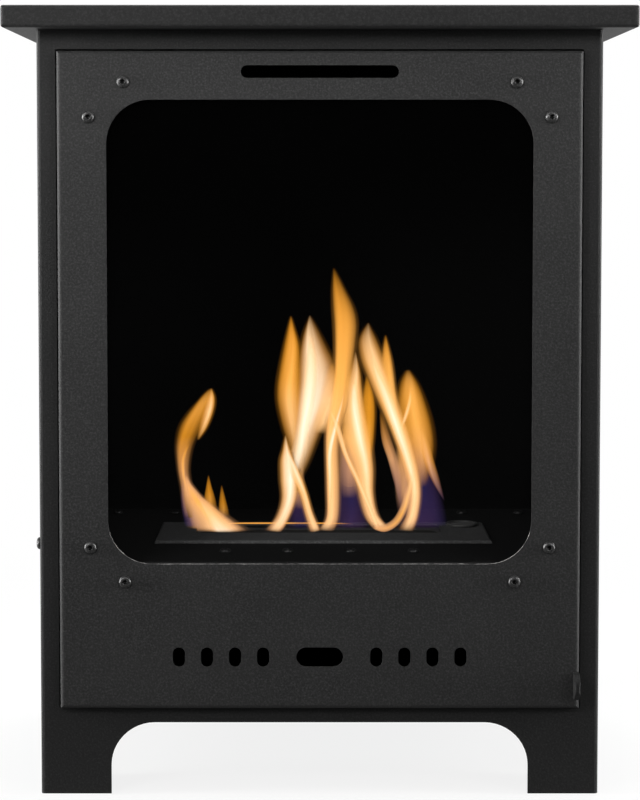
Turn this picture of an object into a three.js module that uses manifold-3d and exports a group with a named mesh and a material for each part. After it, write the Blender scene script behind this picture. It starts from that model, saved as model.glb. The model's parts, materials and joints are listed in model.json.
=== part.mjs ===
// Free-standing bioethanol fireplace: a black sheet-steel cabinet with a glazed door on the left-hand
// hinge, an overhanging top plate and a lift-out burner in the floor of the firebox.
// Millimetres. Origin on the ground under the middle of the top plate, +X right, +Y back, +Z up;
// the door faces -Y.

import * as THREE from 'three';
import { mergeVertices } from 'three/addons/utils/BufferGeometryUtils.js';
import Module from 'manifold-3d';

const wasm = await Module();
wasm.setup();

// ---------------------------------------------------------------- driving sizes

// Overall
const width = 480; // over the top plate, side to side
const depth = 320; // over the top plate, front to back
const height = 607; // ground to the face of the top plate

// Sheet metal and fits
const sheet = 2; // steel of the cabinet and the door
const thinSheet = 1.5; // steel of the burner, the ceiling and the small brackets
const bendInside = 1; // inside radius of a fold
const gap = 0.3; // between pieces that rest on each other
const holePlay = 0.3; // round a shank in its hole

// Top plate: a shallow tray, folded down and back in under its edges
const topThickness = 17;
const topOverhang = 24; // past the cabinet at the front and both sides
const topRearOverhang = 6; // past the flanges that the back panel is screwed to
const topLip = 40; // the lip turned in underneath
const topEdgeRadius = 2.5;

// Cabinet
const railSide = 14.5; // frame beside the door opening
const railTop = 14.7; // frame above it
const apron = 11; // frame between the arch and the door opening
const archHeight = 56;
const archRadius = 34;
const legWidth = 54.5; // at the front and the back
const legDepth = 50; // at the sides
const frameReturn = 20; // the front frame folded back along each side
const lapLength = 15; // tab of a side panel behind that return
const lapSlope = 2.8; // length of the joggle that sets the tab in
const rearFlange = 20; // side panels folded in at the back
const topFlange = 18; // flanges that carry the top plate
const backInset = 5; // back panel short of the cabinet's sides
const baseRise = 4; // base panel above the top of the arches
const baseFlange = 6;

// Door: a tray with its flanges folded back
const doorGap = 1.5;
const doorProud = 8; // front of the door before the frame
const doorDepth = 16; // over the flanges
const windowSide = 37.5; // door beside the window
const windowAbove = 37;
const windowBelow = 112.5;
const windowRadius = 33.5;
const slotWidth = 120; // hot-air slot at the top
const slotHeight = 9.6;
const slotDrop = 15.8; // from the door's top edge to the slot's middle
const ventWidth = 9.4; // air vents at the bottom
const ventHeight = 15.1;
const ventRise = 40.3; // from the door's bottom edge to their middle
const ventFirst = 43.6; // from the door's middle to the nearest one
const ventPitch = 21.6;
const ventsPerSide = 4;
const middleVentWidth = 36;

// Glass and what holds it
const glassThickness = 4;
const glassOverlap = 8.5; // behind the edge of the window
const glassRadius = 3;
const gasketThickness = 1.5;
const gasketSetback = 1; // inner edge back from the window's
const clipScrewOut = 13.5; // screw past the window's edge
const clipScrewIn = 13; // and in from its corner
const clipWidth = 14;
const spacerRadius = 4.5;

// Hinge: an arm with an eye at each end of the door, hidden in its tray
const hingeIn = 10; // pivot in from the door's left edge
const hingeBehind = 7; // pivot behind the door's face
const pinDiameter = 5;
const pinHeadDiameter = 8;
const pinHeadHeight = 2.4;
const eyeRadius = 4.7;
const armThickness = 4;
const armLeft = 2.5; // the arm's width either side of the pivot
const armRight = 6;
const armReach = 52; // from the pivot back to the arm's rear edge
const armFoot = 10; // width of the leg that runs to the side panel
const washerThickness = 1.2;
const hingePlateLength = 34;
const hingePlateHeight = 24;
const hingePlateThickness = 3;
const armSlotPlay = 1; // round the arm in the slot through the door's flange

// Magnetic catch on the right-hand side panel
const catchHeight = 36;
const catchBottom = 302;
const catchBlockDepth = 28;
const catchReachIn = 29; // from the side panel's inner face
const catchFootLength = 24;
const catchFootThickness = 3;
const magnetWidth = 11.4;
const magnetDepth = 8;
const magnetWall = 2; // of the housing round the magnet
const catchScrewInset = 9;

// Pull tab
const tabThickness = 4.2;
const tabHeight = 20.6;
const tabReach = 12;
const tabRadius = 8.5;
const tabRise = 8.2; // from the door's bottom edge
const tabInset = 0.5; // from the door's right edge

// Firebox
const floorBelowWindow = 2;
const floorFlange = 25;
const fireboxFront = 15; // floor and ceiling behind the cabinet's front face
const ceilingFlange = 10;
const ceilingDrop = 1.5; // ceiling's upper face under the top of the door opening
const channelWidth = 40; // cross channels under the floor
const channelHeight = 20;
const frontChannelBack = 58; // middle of the front one behind the cabinet's front face
const rearChannelInset = 32; // middle of the rear one before the cabinet's back
const floorScrewPitch = 50;
const rearScrewSide = 39; // outer screw of each rear pair in from the cabinet's side

// Burner
const burnerWidth = 275;
const burnerDepth = 97;
const burnerRight = 3.5; // its middle to the right of the cabinet's
const burnerBack = 97.5; // its front edge behind the cabinet's front face
const burnerEdge = 3; // its face above the floor
const mouthLeft = 31.3; // plate left of the mouth
const mouthRight = 39.1; // and right of it
const mouthFront = 38.5; // plate before it
const mouthRear = 11.5; // and behind it
const mouthRadius = 3;
const tankInset = 6; // tank in from the plate's edge
const tankDepth = 58;
const tankRadius = 8;
const tankPlay = 2; // floor cut-out round the tank
const cutOutRadius = 2; // its corners
const woolBeyond = 5; // ceramic wool past each end of the mouth
const woolBelow = 3.5; // top of the wool under the plate's face
const woolRadius = 3;
const fillerBack = 20.5; // filler hole's middle in from the plate's rear edge
const capDiameter = 27;
const capHeight = 2.4; // of its rim above the plate
const capFloor = 1; // thickness of the disc inside the rim
const capRim = 3.5; // width of the rim
const capBar = 3.2; // grip bar across it
const skirtDiameter = 22; // tube under the cap that locates it in the hole
const skirtWall = 1.2;
const skirtDepth = 10;

// Button-head screws with a hexagon socket
const screwDiameter = 5;
const screwHeadDiameter = 9.5;
const screwHeadHeight = 2.75;
const socketAcross = 3;
const socketDepth = 1.6;
const smallScrewDiameter = 4;
const smallScrewHeadDiameter = 7.6;
const smallScrewHeadHeight = 2.2;
const sideScrewHeight = 194.5;
const sideScrewBack = 9; // behind the cabinet's front face
const backScrewInset = 34; // from the arch and from the top to the outer ones
const topScrewFront = 56; // behind the cabinet's front face
const topScrewRear = 54; // before its back

// ---------------------------------------------------------------- places worked out from them

const right = width / 2 - topOverhang; // the cabinet's outer faces
const front = -depth / 2 + topOverhang;
const back = depth / 2 - topRearOverhang;
const bodyTop = height - topThickness - gap;
const wall = right - sheet; // inner face of a side panel
const lapFace = wall - gap - sheet; // inner face of its tab
const openingHalf = right - railSide;
const openingTop = bodyTop - railTop;
const openingBottom = archHeight + apron;

const doorHalf = openingHalf - doorGap;
const doorTop = openingTop - doorGap;
const doorBottom = openingBottom + doorGap;
const doorFront = front - doorProud;
const doorInside = doorFront + sheet;
const doorRear = doorFront + doorDepth;

const windowHalf = doorHalf - windowSide;
const windowTop = doorTop - windowAbove;
const windowBottom = doorBottom + windowBelow;
const gasketFront = doorInside + gap;
const glassFront = gasketFront + gasketThickness + gap;
const clipFront = glassFront + glassThickness + gap;

const pivotX = -doorHalf + hingeIn;
const pivotY = doorFront + hingeBehind;

const floorTop = windowBottom - floorBelowWindow;
const fireboxY = front + fireboxFront;
const tabBack = front + frameReturn + lapSlope + sheet + bendInside + 2; // clear behind the joggle
const ceilingTop = openingTop - ceilingDrop;
const plateTop = floorTop + burnerEdge;
const burnerX0 = burnerRight - burnerWidth / 2;
const burnerX1 = burnerRight + burnerWidth / 2;
const burnerY0 = front + burnerBack;
const burnerY1 = burnerY0 + burnerDepth;
const mouthX0 = burnerX0 + mouthLeft;
const mouthX1 = burnerX1 - mouthRight;
const mouthY0 = burnerY0 + mouthFront;
const mouthY1 = burnerY1 - mouthRear;
const tankTop = plateTop - thinSheet - gap;
const fillerX = (mouthX1 + burnerX1) / 2;
const fillerY = burnerY1 - fillerBack;

// ---------------------------------------------------------------- materials

const powderCoat = new THREE.MeshStandardMaterial({ color: 0x343434, roughness: 0.6, metalness: 0.2 });
const blackOxide = new THREE.MeshStandardMaterial({ color: 0x222222, roughness: 0.4, metalness: 0.8 });
const glass = new THREE.MeshStandardMaterial({
  color: 0x1c1c1c, roughness: 0.05, transparent: true, opacity: 0.3,
});
const seal = new THREE.MeshStandardMaterial({ color: 0x3a3a38, roughness: 0.95, metalness: 0 });
const plainSteel = new THREE.MeshStandardMaterial({ color: 0x8d8d8b, roughness: 0.35, metalness: 1 });
const wool = new THREE.MeshStandardMaterial({ color: 0xd9d5cc, roughness: 1, metalness: 0 });
const darkPlastic = new THREE.MeshStandardMaterial({ color: 0x1a1a1a, roughness: 0.7, metalness: 0 });
const ferrite = new THREE.MeshStandardMaterial({ color: 0x3c3b3d, roughness: 0.5, metalness: 0.3 });

// ---------------------------------------------------------------- outlines

const archSteps = 6; // half the steps round a large corner

/** Rectangle with round corners; one radius, or one each for the corners from the lower left, anticlockwise. */
function rectangle(x0, y0, x1, y1, radius = 0) {
  const [r0, r1, r2, r3] = Array.isArray(radius) ? radius : [radius, radius, radius, radius];
  const outline = new THREE.Shape();
  const corner = (x, y, r, start) => {
    if (r > 0) outline.absarc(x, y, r, start, start + Math.PI / 2, false);
    else outline.lineTo(x, y);
  };
  outline.moveTo(x0 + r0, y0);
  outline.lineTo(x1 - r1, y0);
  corner(x1 - r1, y0 + r1, r1, -Math.PI / 2);
  outline.lineTo(x1, y1 - r2);
  corner(x1 - r2, y1 - r2, r2, 0);
  outline.lineTo(x0 + r3, y1);
  corner(x0 + r3, y1 - r3, r3, Math.PI / 2);
  outline.lineTo(x0, y0 + r0);
  corner(x0 + r0, y0 + r0, r0, Math.PI);
  return outline;
}

/** Slot with half-round ends, about a middle point. */
function obround(x, y, w, h) {
  return rectangle(x - w / 2, y - h / 2, x + w / 2, y + h / 2, Math.min(w, h) / 2 - 0.001);
}

function circle(x, y, radius) {
  return new THREE.Shape().absarc(x, y, radius, 0, 2 * Math.PI, false);
}

/** Arch that is open at the ground: straight legs, a level top and round upper corners. */
function arch(x0, x1) {
  return rectangle(x0, -archRadius, x1, archHeight, [0, 0, archRadius, archRadius]);
}

/**
 * Section of a folded sheet: the band of one thickness about a line of straight runs, with each
 * corner turned on the inside bend radius.
 */
function foldedSection(line, thickness) {
  const radius = bendInside + thickness / 2;
  const steps = 3;
  const points = line.map(([x, y]) => new THREE.Vector2(x, y));
  const leftOf = (direction) => new THREE.Vector2(-direction.y, direction.x);
  const run = (i) => points[i + 1].clone().sub(points[i]).normalize();
  const left = [];
  const rightSide = [];
  const put = (point, normal) => {
    left.push(point.clone().addScaledVector(normal, thickness / 2));
    rightSide.push(point.clone().addScaledVector(normal, -thickness / 2));
  };
  put(points[0], leftOf(run(0)));
  for (let i = 1; i < points.length - 1; i += 1) {
    const before = run(i - 1);
    const after = run(i);
    const turn = Math.atan2(before.cross(after), before.dot(after));
    const side = Math.sign(turn);
    const start = points[i].clone().addScaledVector(before, -radius * Math.tan(Math.abs(turn) / 2));
    const centre = start.clone().addScaledVector(leftOf(before), side * radius);
    for (let k = 0; k <= steps; k += 1) {
      const normal = leftOf(before).rotateAround(new THREE.Vector2(), (turn * k) / steps);
      put(centre.clone().addScaledVector(normal, -side * radius), normal);
    }
  }
  put(points[points.length - 1], leftOf(run(points.length - 2)));
  return new THREE.Shape([...left, ...rightSide.reverse()]);
}

// ---------------------------------------------------------------- solids

/** A closed geometry as a solid that can be cut and joined. */
function solidOf(geometry) {
  const bare = geometry.clone();
  bare.deleteAttribute('normal');
  bare.deleteAttribute('uv');
  const merged = mergeVertices(bare, 1e-4);
  const corners = merged.index.array;
  const triVerts = [];
  for (let i = 0; i < corners.length; i += 3) {
    const [a, b, c] = [corners[i], corners[i + 1], corners[i + 2]];
    if (a !== b && b !== c && c !== a) triVerts.push(a, b, c);
  }
  return new wasm.Manifold(new wasm.Mesh({
    numProp: 3,
    vertProperties: Float32Array.from(merged.attributes.position.array),
    triVerts: Uint32Array.from(triVerts),
  }));
}

function geometryOf(solid) {
  const mesh = solid.getMesh();
  const geometry = new THREE.BufferGeometry();
  geometry.setAttribute('position', new THREE.BufferAttribute(Float32Array.from(mesh.vertProperties), 3));
  geometry.setIndex(new THREE.BufferAttribute(Uint32Array.from(mesh.triVerts), 1));
  geometry.computeVertexNormals();
  return geometry;
}

// An outline is drawn in (x, y) for a prism along z, in (x, z) along y and in (y, z) along x.
const along = {
  x: (from) => new THREE.Matrix4().set(0, 0, 1, from, 1, 0, 0, 0, 0, 1, 0, 0, 0, 0, 0, 1),
  y: (from, to) => new THREE.Matrix4().set(1, 0, 0, 0, 0, 0, -1, to, 0, 1, 0, 0, 0, 0, 0, 1),
  z: (from) => new THREE.Matrix4().makeTranslation(0, 0, from),
};

/** An outline extruded along one axis between two places on it; an arc takes twice curveSegments steps. */
function prism(outline, axis, from, to, curveSegments = 2) {
  const geometry = new THREE.ExtrudeGeometry(outline, { depth: to - from, bevelEnabled: false, curveSegments });
  return solidOf(geometry.applyMatrix4(along[axis](from, to)));
}

function box(x0, x1, y0, y1, z0, z1) {
  return prism(rectangle(x0, y0, x1, y1), 'z', z0, z1);
}

/** A round hole or rod along one axis, through a point given by its other two coordinates. */
function rod(axis, u, v, radius, from, to, facets = 10) {
  return prism(circle(u, v, radius), axis, from, to, facets / 2);
}

/** A profile of (radius, height) points turned about +Z, starting and ending on the axis. */
function turned(profile, facets) {
  const points = profile.map(([r, z]) => new THREE.Vector2(r, z));
  return solidOf(new THREE.LatheGeometry(points, facets).rotateX(Math.PI / 2));
}

function joined(...solids) {
  return solids.reduce((whole, next) => whole.add(next));
}

function cut(solid, ...tools) {
  return tools.reduce((rest, tool) => rest.subtract(tool), solid);
}

/**
 * A tray folded from sheet: a face square to one axis, and flanges on its four sides that run from
 * the face towards `open`, which is the sign of that axis. Its folded edges are round.
 */
function tray(lo, hi, axis, open, thickness) {
  const others = [0, 1, 2].filter((i) => 'xyz'[i] !== axis);
  const main = 'xyz'.indexOf(axis);
  const block = (inset, radius) => {
    const low = lo.map((v, i) => v + (i === main && open < 0 ? -1 : inset));
    const high = hi.map((v, i) => v - (i === main && open > 0 ? -1 : inset));
    if (inset === 0) {
      low[main] = lo[main];
      high[main] = hi[main];
    }
    const section = (i) => {
      const swap = others[1 - others.indexOf(i)];
      const [u, v] = [main, swap].sort((a, b) => a - b);
      const face = open > 0 ? 'low' : 'high';
      const round = (uEnd, vEnd) => ((main === u ? uEnd : vEnd) === face ? radius : 0);
      const radii = [round('low', 'low'), round('high', 'low'), round('high', 'high'), round('low', 'high')];
      return prism(rectangle(low[u], low[v], high[u], high[v], radii), 'xyz'[i], low[i], high[i]);
    };
    return section(others[0]).intersect(section(others[1]));
  };
  return block(0, bendInside + thickness).subtract(block(thickness, bendInside));
}

// ---------------------------------------------------------------- nodes

const fireplace = new THREE.Group();

/** Adds one named piece, as a solid or as a ready geometry, and returns its mesh. */
function piece(name, shape, material) {
  const geometry = shape.isBufferGeometry ? shape : geometryOf(shape);
  const mesh = new THREE.Mesh(geometry, material);
  mesh.name = name;
  fireplace.add(mesh);
  return mesh;
}

// ---- screws

/** Button-head screw: its head's seat at z = 0, head up, shank down. */
function buttonScrew(diameter, headDiameter, headHeight, length, facets, domeSteps) {
  const headRadius = headDiameter / 2;
  const shank = diameter / 2;
  const dome = [];
  const crown = headRadius * 0.45; // flat on top of the dome
  const rim = headHeight * 0.2; // straight edge under it
  for (let k = 0; k <= domeSteps; k += 1) {
    const angle = (k / domeSteps) * (Math.PI / 2);
    dome.push([
      crown + (headRadius - crown) * Math.cos(angle),
      rim + (headHeight - rim) * Math.sin(angle),
    ]);
  }
  const profile = [
    [0, -length], [shank - 0.5, -length], [shank, -length + 0.5], [shank, 0], [headRadius, 0],
    ...dome, [0, headHeight],
  ];
  const socket = new THREE.Shape();
  for (let k = 0; k < 6; k += 1) {
    const angle = (k * Math.PI) / 3;
    const corner = socketAcross / Math.sqrt(3) * (diameter / screwDiameter);
    socket[k ? 'lineTo' : 'moveTo'](corner * Math.cos(angle), corner * Math.sin(angle));
  }
  const sunk = prism(socket, 'z', headHeight - socketDepth, headHeight + 1);
  return geometryOf(turned(profile, facets).subtract(sunk));
}

/** Turns that point a screw's head along an axis. */
const headTowards = {
  '+z': [0, 0, 0],
  '-z': [Math.PI, 0, 0],
  '-y': [Math.PI / 2, 0, 0],
  '+y': [-Math.PI / 2, 0, 0],
  '+x': [0, Math.PI / 2, 0],
  '-x': [0, -Math.PI / 2, 0],
};

function placeScrew(name, geometry, direction, x, y, z) {
  const mesh = piece(name, geometry, blackOxide);
  mesh.position.set(x, y, z);
  mesh.rotation.set(...headTowards[direction]);
}

const shankHole = screwDiameter / 2 + holePlay;
const smallShankHole = smallScrewDiameter / 2 + holePlay;

// ---- where the screws go

const signs = [-1, 1];
const clipScrews = []; // [x, z] of the eight screws about the window
for (const side of signs) {
  for (const end of signs) {
    const edge = end > 0 ? windowTop : windowBottom;
    clipScrews.push({ side, end, x: side * (windowHalf - clipScrewIn), z: edge + end * clipScrewOut });
    clipScrews.push({ side, end, x: side * (windowHalf + clipScrewOut), z: edge - end * clipScrewIn });
  }
}
const frontFloorScrews = [-1.5, -0.5, 0.5, 1.5].map((n) => [n * floorScrewPitch, front + frontChannelBack]);
const rearFloorScrews = signs.flatMap((side) => [1, 0].map(
  (n) => [side * (right - rearScrewSide - n * floorScrewPitch), back - rearChannelInset],
));
const backScrewX = right - rearFlange / 2;
const backScrewLow = archHeight + backScrewInset;
const backScrewHigh = bodyTop - backScrewInset;
const backScrewHeights = [backScrewLow, (backScrewLow + backScrewHigh) / 2, backScrewHigh];
const topScrewX = width / 2 - topLip + (right - (width / 2 - topLip)) / 2;
const topScrewPlaces = [front + topScrewFront, back - topScrewRear];
const sideScrewY = front + sideScrewBack;

// ---- top plate

function topPlate() {
  const [x, y, z0] = [width / 2, depth / 2, height - topThickness];
  const r = topEdgeRadius;
  const outer = prism(rectangle(-x, z0, x, height, r), 'y', -y, y)
    .intersect(prism(rectangle(-y, z0, y, height, r), 'x', -x, x))
    .intersect(prism(rectangle(-x, -y, x, y, r), 'z', z0, height));
  const hollow = box(-x + sheet, x - sheet, -y + sheet, y - sheet, z0 + sheet, height - sheet);
  const underside = box(-x + topLip, x - topLip, -y + topLip, y - topLip, z0 - 1, z0 + sheet + 1);
  const holes = signs.flatMap((side) => topScrewPlaces.map(
    (screwY) => rod('z', side * topScrewX, screwY, shankHole, z0 - 1, z0 + sheet + 1),
  ));
  return cut(outer, hollow, underside, ...holes);
}
piece('top_plate', topPlate(), powderCoat);

// ---- cabinet

function frontFrame() {
  const centre = right - sheet / 2;
  const face = front + sheet / 2;
  const wrap = foldedSection(
    [[-centre, front + frameReturn], [-centre, face], [centre, face], [centre, front + frameReturn]],
    sheet,
  );
  const upright = prism(wrap, 'z', 0, bodyTop);
  const shelfHalf = wall - bendInside - sheet;
  const shelf = box(-shelfHalf, shelfHalf, front + sheet / 2, front + topFlange, bodyTop - sheet, bodyTop);
  const opening = prism(
    rectangle(-openingHalf, openingBottom, openingHalf, openingTop, 1.5), 'y', front - 1, front + sheet + 1,
  );
  const archway = prism(arch(-right + legWidth, right - legWidth), 'y', front - 1, front + sheet + 1, archSteps);
  const screwHole = rod('x', sideScrewY, sideScrewHeight, shankHole, -right - 1, -wall + 1);
  return cut(joined(upright, shelf), opening, archway, screwHole);
}
piece('front_frame', frontFrame(), powderCoat);

/** Side panel: flange at the back, joggled tab at the front and a flange for the top plate. */
function sidePanel(side) {
  const centre = right - sheet / 2;
  const lapCentre = lapFace + sheet / 2;
  const seam = front + frameReturn + gap;
  const line = [
    [right - rearFlange, back - sheet / 2],
    [centre, back - sheet / 2],
    [centre, seam + lapSlope + sheet / 2],
    [lapCentre, seam + sheet / 2],
    [lapCentre, seam + sheet / 2 - lapLength],
  ].map(([x, y]) => [side * x, y]);
  const upright = prism(foldedSection(line, sheet), 'z', 0, bodyTop);
  const shelfFront = seam + lapSlope + sheet + bendInside;
  const [inner, outer] = [side * (right - topFlange), side * (right - sheet / 2)].sort((a, b) => a - b);
  const shelf = box(inner, outer, shelfFront, back - sheet / 2, bodyTop - sheet, bodyTop);
  const archway = prism(arch(front + legDepth, back - legDepth), 'x', -right - 1, right + 1, archSteps);
  const backHoles = backScrewHeights.map(
    (z) => rod('y', side * backScrewX, z, shankHole, back - sheet - 1, back + 1),
  );
  const topHoles = topScrewPlaces.map(
    (y) => rod('z', side * topScrewX, y, shankHole, bodyTop - sheet - 1, bodyTop + 1),
  );
  const lapHole = rod('x', sideScrewY, sideScrewHeight, shankHole, -right - 1, -lapFace + 1);
  return cut(joined(upright, shelf), archway, lapHole, ...backHoles, ...topHoles);
}
piece('left_side_panel', sidePanel(-1), powderCoat);
piece('right_side_panel', sidePanel(1), powderCoat);

function backPanel() {
  const half = right - backInset;
  const y0 = back + gap;
  const plate = prism(rectangle(-half, 0, half, bodyTop, 2), 'y', y0, y0 + sheet);
  const archway = prism(arch(-right + legWidth, right - legWidth), 'y', y0 - 1, y0 + sheet + 1, archSteps);
  const holes = signs.flatMap((side) => backScrewHeights.map(
    (z) => rod('y', side * backScrewX, z, shankHole, y0 - 1, y0 + sheet + 1),
  ));
  return cut(plate, archway, ...holes);
}
piece('back_panel', backPanel(), powderCoat);

// ---- base and firebox

/** Corners cut away, at the front for the tabs of the side panels and at the back for their folds. */
function cornerNotches(z0, z1) {
  const rearCorner = back - sheet - bendInside - gap;
  return signs.flatMap((side) => [
    [lapFace - gap, front, tabBack],
    [wall - bendInside - gap, rearCorner, back],
  ].map(([x, y0, y1]) => {
    const [x0, x1] = [side * x, side * (right + 1)].sort((a, b) => a - b);
    return box(x0, x1, y0, y1, z0 - 1, z1 + 1);
  }));
}

/** Panel that closes the air space under the firebox, folded up on all four sides. */
function basePanel() {
  const half = wall - gap;
  const z0 = archHeight + baseRise;
  const lo = [-half, front + sheet + gap, z0];
  const hi = [half, back - sheet - gap, z0 + baseFlange];
  return cut(tray(lo, hi, 'z', 1, sheet), ...cornerNotches(lo[2], hi[2]));
}
piece('base_panel', basePanel(), powderCoat);

function fireboxFloor() {
  const half = wall - gap;
  const lo = [-half, fireboxY, floorTop - floorFlange];
  const hi = [half, back - sheet - gap, floorTop];
  const cutOut = prism(
    rectangle(
      burnerX0 + tankInset - tankPlay, burnerY0 + tankInset - tankPlay,
      burnerX1 - tankInset + tankPlay, burnerY1 - tankInset + tankPlay, cutOutRadius,
    ),
    'z', floorTop - sheet - 1, floorTop + 1,
  );
  const holes = [...frontFloorScrews, ...rearFloorScrews].map(
    ([x, y]) => rod('z', x, y, shankHole, floorTop - sheet - 1, floorTop + 1),
  );
  return cut(tray(lo, hi, 'z', -1, sheet), cutOut, ...cornerNotches(lo[2], hi[2]), ...holes);
}
piece('firebox_floor', fireboxFloor(), powderCoat);

function fireboxCeiling() {
  const half = wall - gap;
  const lo = [-half, fireboxY, ceilingTop - thinSheet];
  const hi = [half, back - sheet - gap, ceilingTop - thinSheet + ceilingFlange];
  return cut(tray(lo, hi, 'z', 1, thinSheet), ...cornerNotches(lo[2], hi[2]));
}
piece('firebox_ceiling', fireboxCeiling(), powderCoat);

/** Channel across the cabinet that the floor is screwed down to. */
function crossChannel(y, screws) {
  const top = floorTop - sheet - gap;
  const [y0, y1] = [y - channelWidth / 2 + sheet / 2, y + channelWidth / 2 - sheet / 2];
  const line = [[y0, top - channelHeight], [y0, top - sheet / 2], [y1, top - sheet / 2], [y1, top - channelHeight]];
  const half = wall - gap - sheet - gap;
  const channel = prism(foldedSection(line, sheet), 'x', -half, half);
  return cut(channel, ...screws.map(([x, holeY]) => rod('z', x, holeY, shankHole, top - sheet - 1, top + 1)));
}
piece('front_cross_channel', crossChannel(front + frontChannelBack, frontFloorScrews), powderCoat);
piece('rear_cross_channel', crossChannel(back - rearChannelInset, rearFloorScrews), powderCoat);

// ---- door

function doorPanel() {
  const shell = tray([-doorHalf, doorFront, doorBottom], [doorHalf, doorRear, doorTop], 'y', 1, sheet);
  const through = (outline, segments) => prism(outline, 'y', doorFront - 1, doorInside + 1, segments);
  const pane = through(rectangle(-windowHalf, windowBottom, windowHalf, windowTop, windowRadius), archSteps);
  const slot = through(obround(0, doorTop - slotDrop, slotWidth, slotHeight), 4);
  const ventZ = doorBottom + ventRise;
  const vents = [through(obround(0, ventZ, middleVentWidth, ventHeight), 4)];
  for (let n = 0; n < ventsPerSide; n += 1) {
    for (const side of signs) {
      const x = side * (ventFirst + n * ventPitch);
      vents.push(through(obround(x, ventZ, ventWidth, ventHeight), 3));
    }
  }
  const screwHoles = clipScrews.map(({ x, z }) => rod('y', x, z, shankHole, doorFront - 1, doorInside + 1));
  const pinHoles = [[doorBottom - 1, doorBottom + sheet + 1], [doorTop - sheet - 1, doorTop + 1]].map(
    ([from, to]) => rod('z', pivotX, pivotY, pinDiameter / 2 + holePlay, from, to),
  );
  const armSlots = hingeEnds.map(({ armLow }) => box(
    -doorHalf - 1, -doorHalf + sheet + bendInside, doorInside, doorRear + 1,
    armLow - armSlotPlay, armLow + armThickness + armSlotPlay,
  ));
  return cut(shell, pane, slot, ...vents, ...screwHoles, ...pinHoles, ...armSlots);
}

/** Heights of the arm, washer and pin at each end of the door; `way` is where the pin points. */
const hingeEnds = [
  { name: 'upper', way: 1, flange: doorTop - sheet },
  { name: 'lower', way: -1, flange: doorBottom + sheet },
].map((end) => {
  const washerFace = end.flange - end.way * gap;
  const armFace = washerFace - end.way * (washerThickness + gap);
  const armBack = armFace - end.way * armThickness;
  return {
    ...end,
    washerLow: Math.min(washerFace, washerFace - end.way * washerThickness),
    armLow: Math.min(armFace, armBack),
    armBack,
  };
});
piece('door_panel', doorPanel(), powderCoat);

function windowPane() {
  const x = windowHalf + glassOverlap;
  const outline = rectangle(-x, windowBottom - glassOverlap, x, windowTop + glassOverlap, glassRadius);
  return prism(outline, 'y', glassFront, glassFront + glassThickness);
}
piece('glass_pane', windowPane(), glass);

function gasket() {
  const x = windowHalf + glassOverlap;
  const outer = rectangle(-x, windowBottom - glassOverlap, x, windowTop + glassOverlap, glassRadius);
  const inner = rectangle(
    -windowHalf - gasketSetback, windowBottom - gasketSetback,
    windowHalf + gasketSetback, windowTop + gasketSetback, windowRadius + gasketSetback,
  );
  const [y0, y1] = [gasketFront, gasketFront + gasketThickness];
  return prism(outer, 'y', y0, y1).subtract(prism(inner, 'y', y0 - 1, y1 + 1, archSteps));
}
piece('glass_gasket', gasket(), seal);

/** Bar over a corner of the glass with a spacer tube at each screw; along X about its middle. */
function glassClip() {
  const reach = Math.hypot(clipScrewOut + clipScrewIn, clipScrewOut + clipScrewIn);
  const bar = prism(obround(0, 0, reach + clipWidth, clipWidth), 'y', clipFront, clipFront + thinSheet, 3);
  const ends = signs.map((side) => (side * reach) / 2);
  const tubes = ends.map((x) => rod('y', x, 0, spacerRadius, gasketFront, clipFront + thinSheet / 2));
  const holes = ends.map((x) => rod('y', x, 0, shankHole, gasketFront - 1, clipFront + thinSheet + 1));
  return geometryOf(cut(joined(bar, ...tubes), ...holes));
}
const clipGeometry = glassClip();
const glassScrew = buttonScrew(screwDiameter, screwHeadDiameter, screwHeadHeight, 12, 16, 3);
for (const side of signs) {
  for (const end of signs) {
    const corner = `${end > 0 ? 'upper' : 'lower'}_${side > 0 ? 'right' : 'left'}`;
    const screws = clipScrews.filter((screw) => screw.side === side && screw.end === end);
    const clip = piece(`glass_clip_${corner}`, clipGeometry, plainSteel);
    clip.position.set((screws[0].x + screws[1].x) / 2, 0, (screws[0].z + screws[1].z) / 2);
    clip.rotation.y = side * end * (Math.PI / 4);
    placeScrew(`glass_screw_${corner}_inner`, glassScrew, '-y', screws[0].x, doorFront - gap, screws[0].z);
    placeScrew(`glass_screw_${corner}_outer`, glassScrew, '-y', screws[1].x, doorFront - gap, screws[1].z);
  }
}

/** Tab at the lower right of the door: a D-shaped plate on edge. */
function pullTab() {
  const z0 = doorBottom + tabRise;
  const [y0, y1] = [doorFront - gap - tabReach, doorFront - gap];
  const outline = rectangle(y0, z0, y1, z0 + tabHeight, [tabRadius, 0, 0, tabRadius]);
  const x1 = doorHalf - tabInset;
  const plate = prism(outline, 'x', x1 - tabThickness, x1, 6);
  const edge = 1.2; // round on the front edge
  const softened = prism(rectangle(x1 - tabThickness, y0, x1, y1, [edge, edge, 0, 0]), 'z', z0, z0 + tabHeight);
  return plate.intersect(softened);
}
piece('pull_tab', pullTab(), powderCoat);

// ---- hinge

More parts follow.
